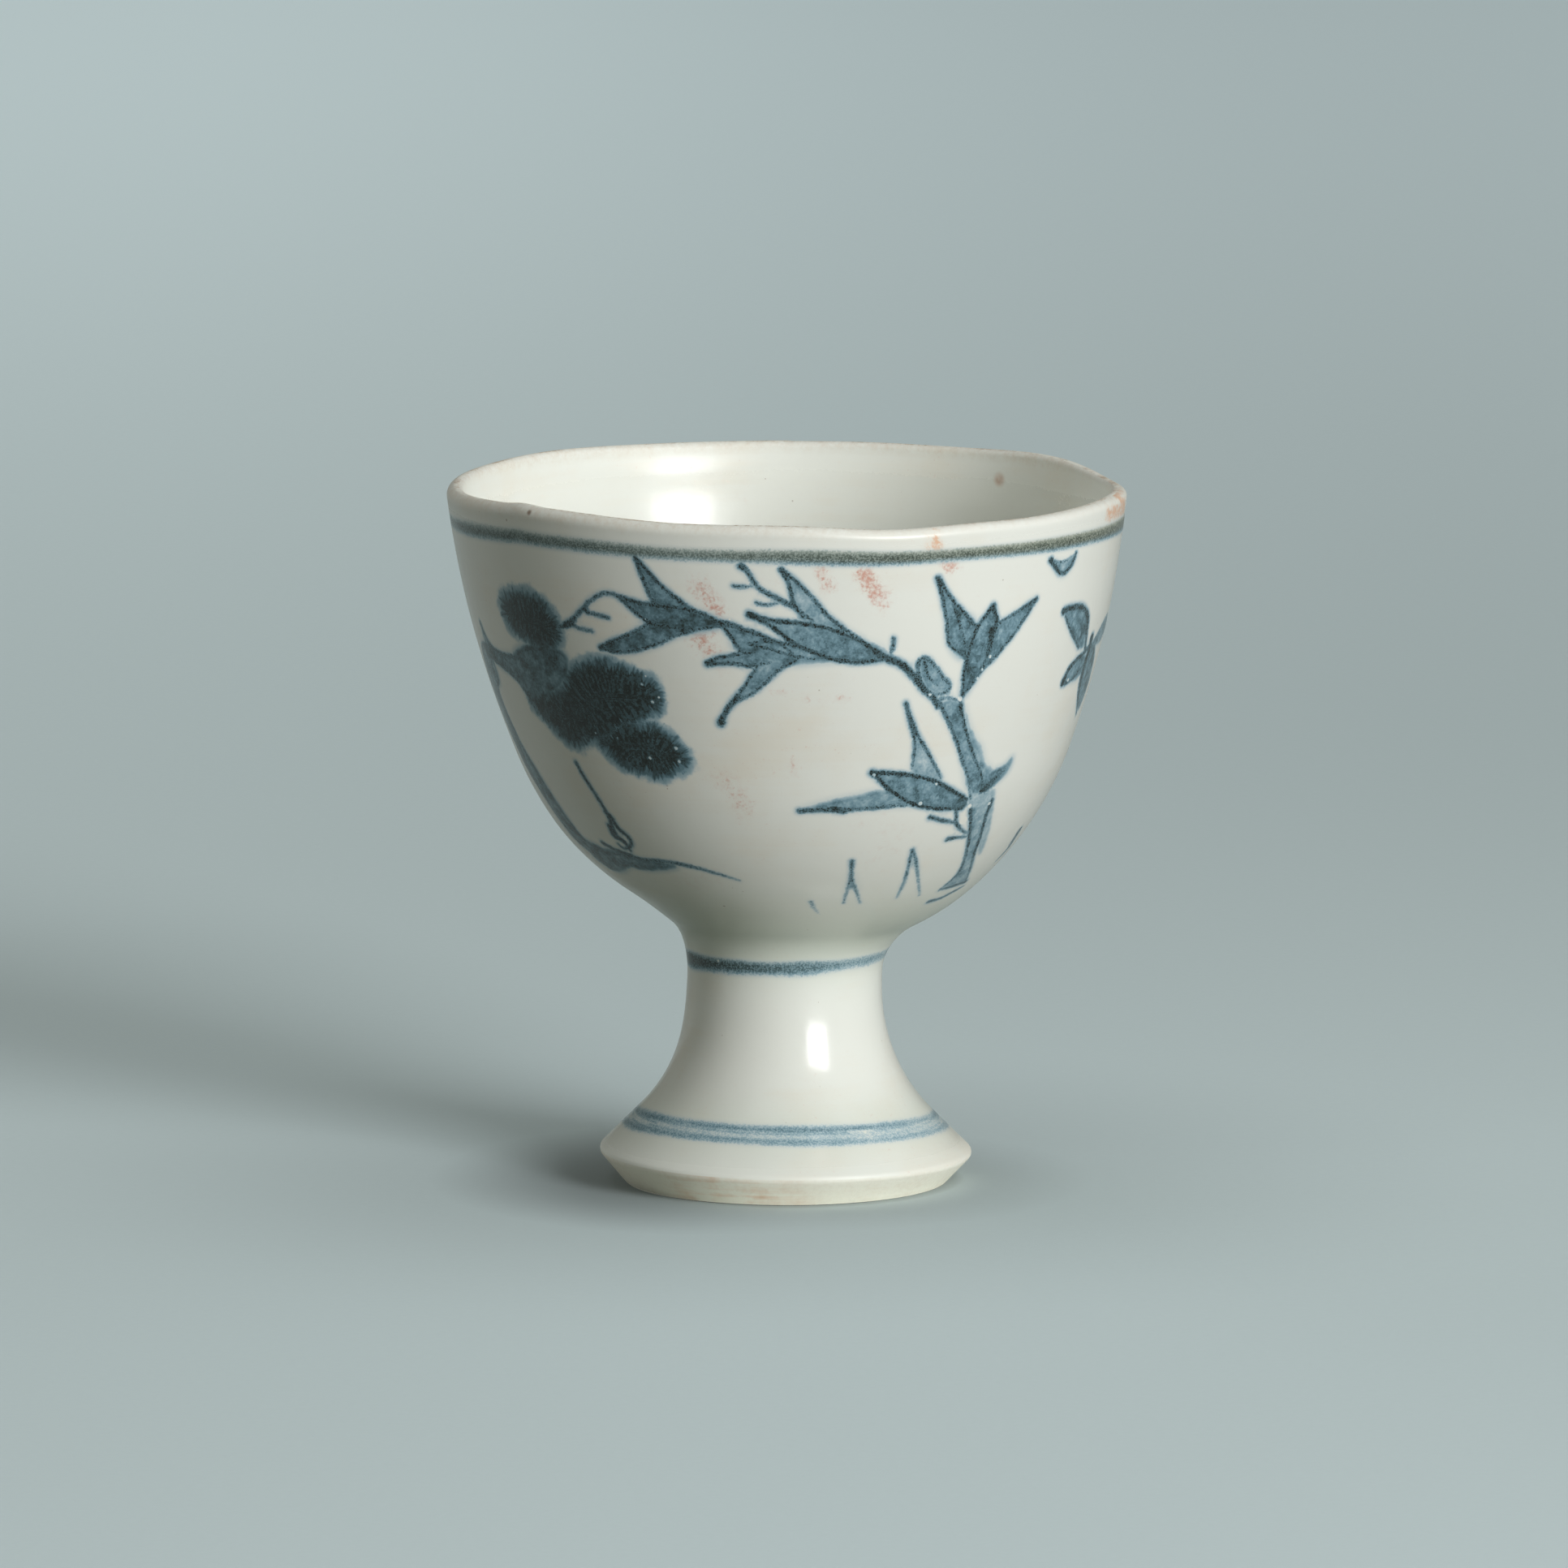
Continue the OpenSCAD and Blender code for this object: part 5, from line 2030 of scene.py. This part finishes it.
@dataclass(frozen=True)
class Lamp:
    """A soft lamp of a width and height in metres, which the glaze mirrors if it is shiny."""

    name: str
    place: Vector
    heading: Vector
    size: Span
    power: float
    shiny: bool = True

    def hang(self) -> None:
        """Adds the lamp to the scene, out of the camera's sight."""
        data = bpy.data.lights.new(self.name, "AREA")
        data.shape = "RECTANGLE"
        data.size, data.size_y = self.size
        data.energy = self.power
        lamp = bpy.data.objects.new(self.name, data)
        lamp.location = self.place
        lamp.rotation_euler = self.heading.to_track_quat("-Z", "Y").to_euler()
        lamp.visible_camera = False
        lamp.visible_glossy = self.shiny
        bpy.context.scene.collection.objects.link(lamp)


@dataclass(frozen=True)
class Studio:
    """Seamless pale floor under a soft lamp to the right, a card to the left, a top lamp and an even fill.

    The lamps and the floor's side are in metres and watts, other distances on the floor in millimetres.
    """

    floor_side: float = 12.0
    floor_gap: float = 0.05
    floor_open_r: float = 11.55
    floor_roughness: float = 0.75
    floor_grain: Colour = (0.2, 0.24, 0.25, 1.0)
    # Colours of the painted shade to the right and of the painted shadow round the foot.
    floor_right_shade: Colour = (0.0, 0.02, 0.03, 1.0)
    floor_shade: Colour = (0.02, 0.02, 0.02, 1.0)
    far_span: Span = (60.0, 900.0)
    glow_span: Span = (0.0, 900.0)
    right_shade_span: Span = (-10.0, 250.0)
    aside_span: Span = (-75.0, 75.0)
    glossy_share: float = 0.6
    floor_near: Colour = pigment(211, 227, 230)
    floor_far: Colour = pigment(228, 240, 244)
    # Painted glow that the far floor gives off, to the left and to the right.
    glow_left: Colour = (0.12, 0.165, 0.175, 1.0)
    glow_right: Colour = (0.085, 0.12, 0.13, 1.0)
    # Colours by which the floor throws back light: painted light near the foot, painted shade far off and
    # on the left.
    bounce_near: Colour = pigment(206, 211, 198)
    # Depth of the painted shadow round the foot on the floor that the camera sees; more is added on the
    # left.
    foot_shadow_depth: float = 0.25
    bounce_far: Colour = pigment(91, 96, 84)
    lamp_turn: float = 38.6
    lamp_rise: float = 16.5
    lamp_away: float = 1.15
    lamp_lift: float = 0.02
    lamp_size: Span = (0.43, 0.48)
    lamp_power: float = 11.9
    card_turn: float = -122.0
    card_rise: float = 16.0
    card_size: Span = (1.2, 0.5)
    card_power: float = 2.9
    top_size: float = 2.4
    top_place: Triple = (0.4, 0.2, 1.7)
    top_power: float = 9.4
    fill: float = 0.125
    fill_colour: Colour = (0.98, 1.02, 0.86, 1.0)

    def build_floor(self) -> None:
        """Lays the floor, open from below and under the hollow foot for the camera and the fill light.

        The camera sees a painted shadow round the foot, painted shade to the right and far back, and a
        painted glow on the far floor, more on the left. The light that it throws back is painted as well:
        bright near the foot, dim far off and on the left, where the shadow falls.
        """
        bpy.ops.object.select_all(action="DESELECT")
        bpy.ops.mesh.primitive_plane_add(size=self.floor_side, location=(0, 0, -self.floor_gap * MM))
        floor = bpy.context.object
        floor.name = "studio_floor"
        material, bench, shader, where = new_material("studio_floor")
        right, back, _ = bench.split(where)
        reach = bench.add("VectorMath", where, operation="LENGTH").outputs["Value"]
        aside = bench.step(right, *self.aside_span)
        # Painted light in the light that the floor throws back: bright near the foot, dim far off and on
        # the left, where the shadow falls.
        dim = bench.most(bench.step(reach, 15.0, 24.0), bench.times(bench.step(right, -3.0, -12.0), 0.6))
        bounced = bench.mix(dim, self.bounce_near, self.bounce_far)
        path = bench.add("LightPath")
        mirrored = bench.times(path.outputs["Is Glossy Ray"], self.glossy_share)
        eye = bench.most(path.outputs["Is Camera Ray"], mirrored)
        grain = bench.step(bench.noise(where, 1.5, 3.0, 0.7), -0.6, 0.6)
        seen = bench.mix(bench.step(back, *self.far_span), self.floor_near, self.floor_far)
        seen = bench.mix(bench.times(grain, 0.06), seen, self.floor_grain)
        # Painted shade: the floor that the camera sees grows darker to the right and further back.
        right_shade = bench.times(bench.step(back, *self.right_shade_span), aside, 0.12)
        seen = bench.mix(right_shade, seen, self.floor_right_shade)
        # Painted shadow: the floor that the camera sees is darkened round the foot, more to the left, most
        # right under its edge, and faintly over a wider apron.
        foot_shadow_depth = bench.weigh((bench.step(right, 2.0, -16.0), 0.42), start=self.foot_shadow_depth)
        close = bench.times(bench.step(reach, 30.0, 11.0), foot_shadow_depth)
        under = bench.times(bench.step(reach, 14.2, 11.4), 0.55)
        shade_apron = bench.times(bench.step(reach, 62.0, 18.0), 0.09)
        seen = bench.mix(bench.most(close, under, shade_apron), seen, self.floor_shade)
        bench.put(shader, base_color=bench.mix(eye, bounced, seen), roughness=self.floor_roughness)
        # Painted glow: the far floor that the camera sees gives off light, more on the left and growing
        # further back.
        lit = bench.times(bench.step(back, *self.glow_span), eye)
        glow = bench.mix(lit, BLACK, bench.mix(aside, self.glow_left, self.glow_right))
        bench.put(shader, emission_color=glow, emission_strength=1.0)
        clear = bench.add("BsdfTransparent").outputs[0]
        opened = bench.step(reach, self.floor_open_r + 0.1, self.floor_open_r)
        below = bench.add("NewGeometry").outputs["Backfacing"]
        choose = bench.add("MixShader", bench.most(below, opened), shader.outputs[0], clear)
        bench.put(material.node_tree.nodes["Material Output"], surface=choose.outputs[0])
        floor.data.materials.append(material)

    @staticmethod
    def _towards(turn: float, rise: float) -> Vector:
        """Direction from the cup, by degrees to the right of the front and above the floor."""
        turn, rise = math.radians(turn), math.radians(rise)
        return Vector((math.sin(turn) * math.cos(rise), -math.cos(turn) * math.cos(rise), math.sin(rise)))

    def build_light(self) -> None:
        """Hangs the lamps and sets the fill."""
        away = self._towards(self.lamp_turn, self.lamp_rise)
        place = away * self.lamp_away + Vector((0, 0, self.lamp_lift))
        Lamp("soft_lamp", place, -away, self.lamp_size, self.lamp_power).hang()
        away = self._towards(self.card_turn, self.card_rise)
        place = away * self.lamp_away
        Lamp("left_card", place, -away, self.card_size, self.card_power, shiny=False).hang()
        place, down = Vector(self.top_place), Vector((0, 0, -1))
        Lamp("top_lamp", place, down, (self.top_size, self.top_size), self.top_power).hang()
        world = bpy.data.worlds.new("studio_fill")
        world.use_nodes = True
        background = world.node_tree.nodes["Background"]
        background.inputs["Color"].default_value = self.fill_colour
        background.inputs["Strength"].default_value = self.fill
        bpy.context.scene.world = world


def main() -> None:
    """Builds the cup's pieces and the studio round them."""
    logging.basicConfig(level=logging.INFO, format="%(name)s: %(message)s")
    bpy.context.scene.view_settings.view_transform = "Standard"
    low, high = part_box("outer_glaze")
    shape = CupShape(height=high.z / MM, rim_d=(high.x - low.x) / MM)
    workshop, finishes, camera = Workshop(Throwing()), Finishes(), PhotoCamera()
    body = Body(shape, workshop, finishes)
    body.build_bowl()
    body.build_stem()
    body.dress_slip()
    glazes = Glazes(shape, workshop, finishes, camera)
    glazes.build_lines()
    glazes.build_lining()
    glazes.build_outer()
    camera.build()
    studio = Studio()
    studio.build_floor()
    studio.build_light()


if __name__ == "__main__":
    main()
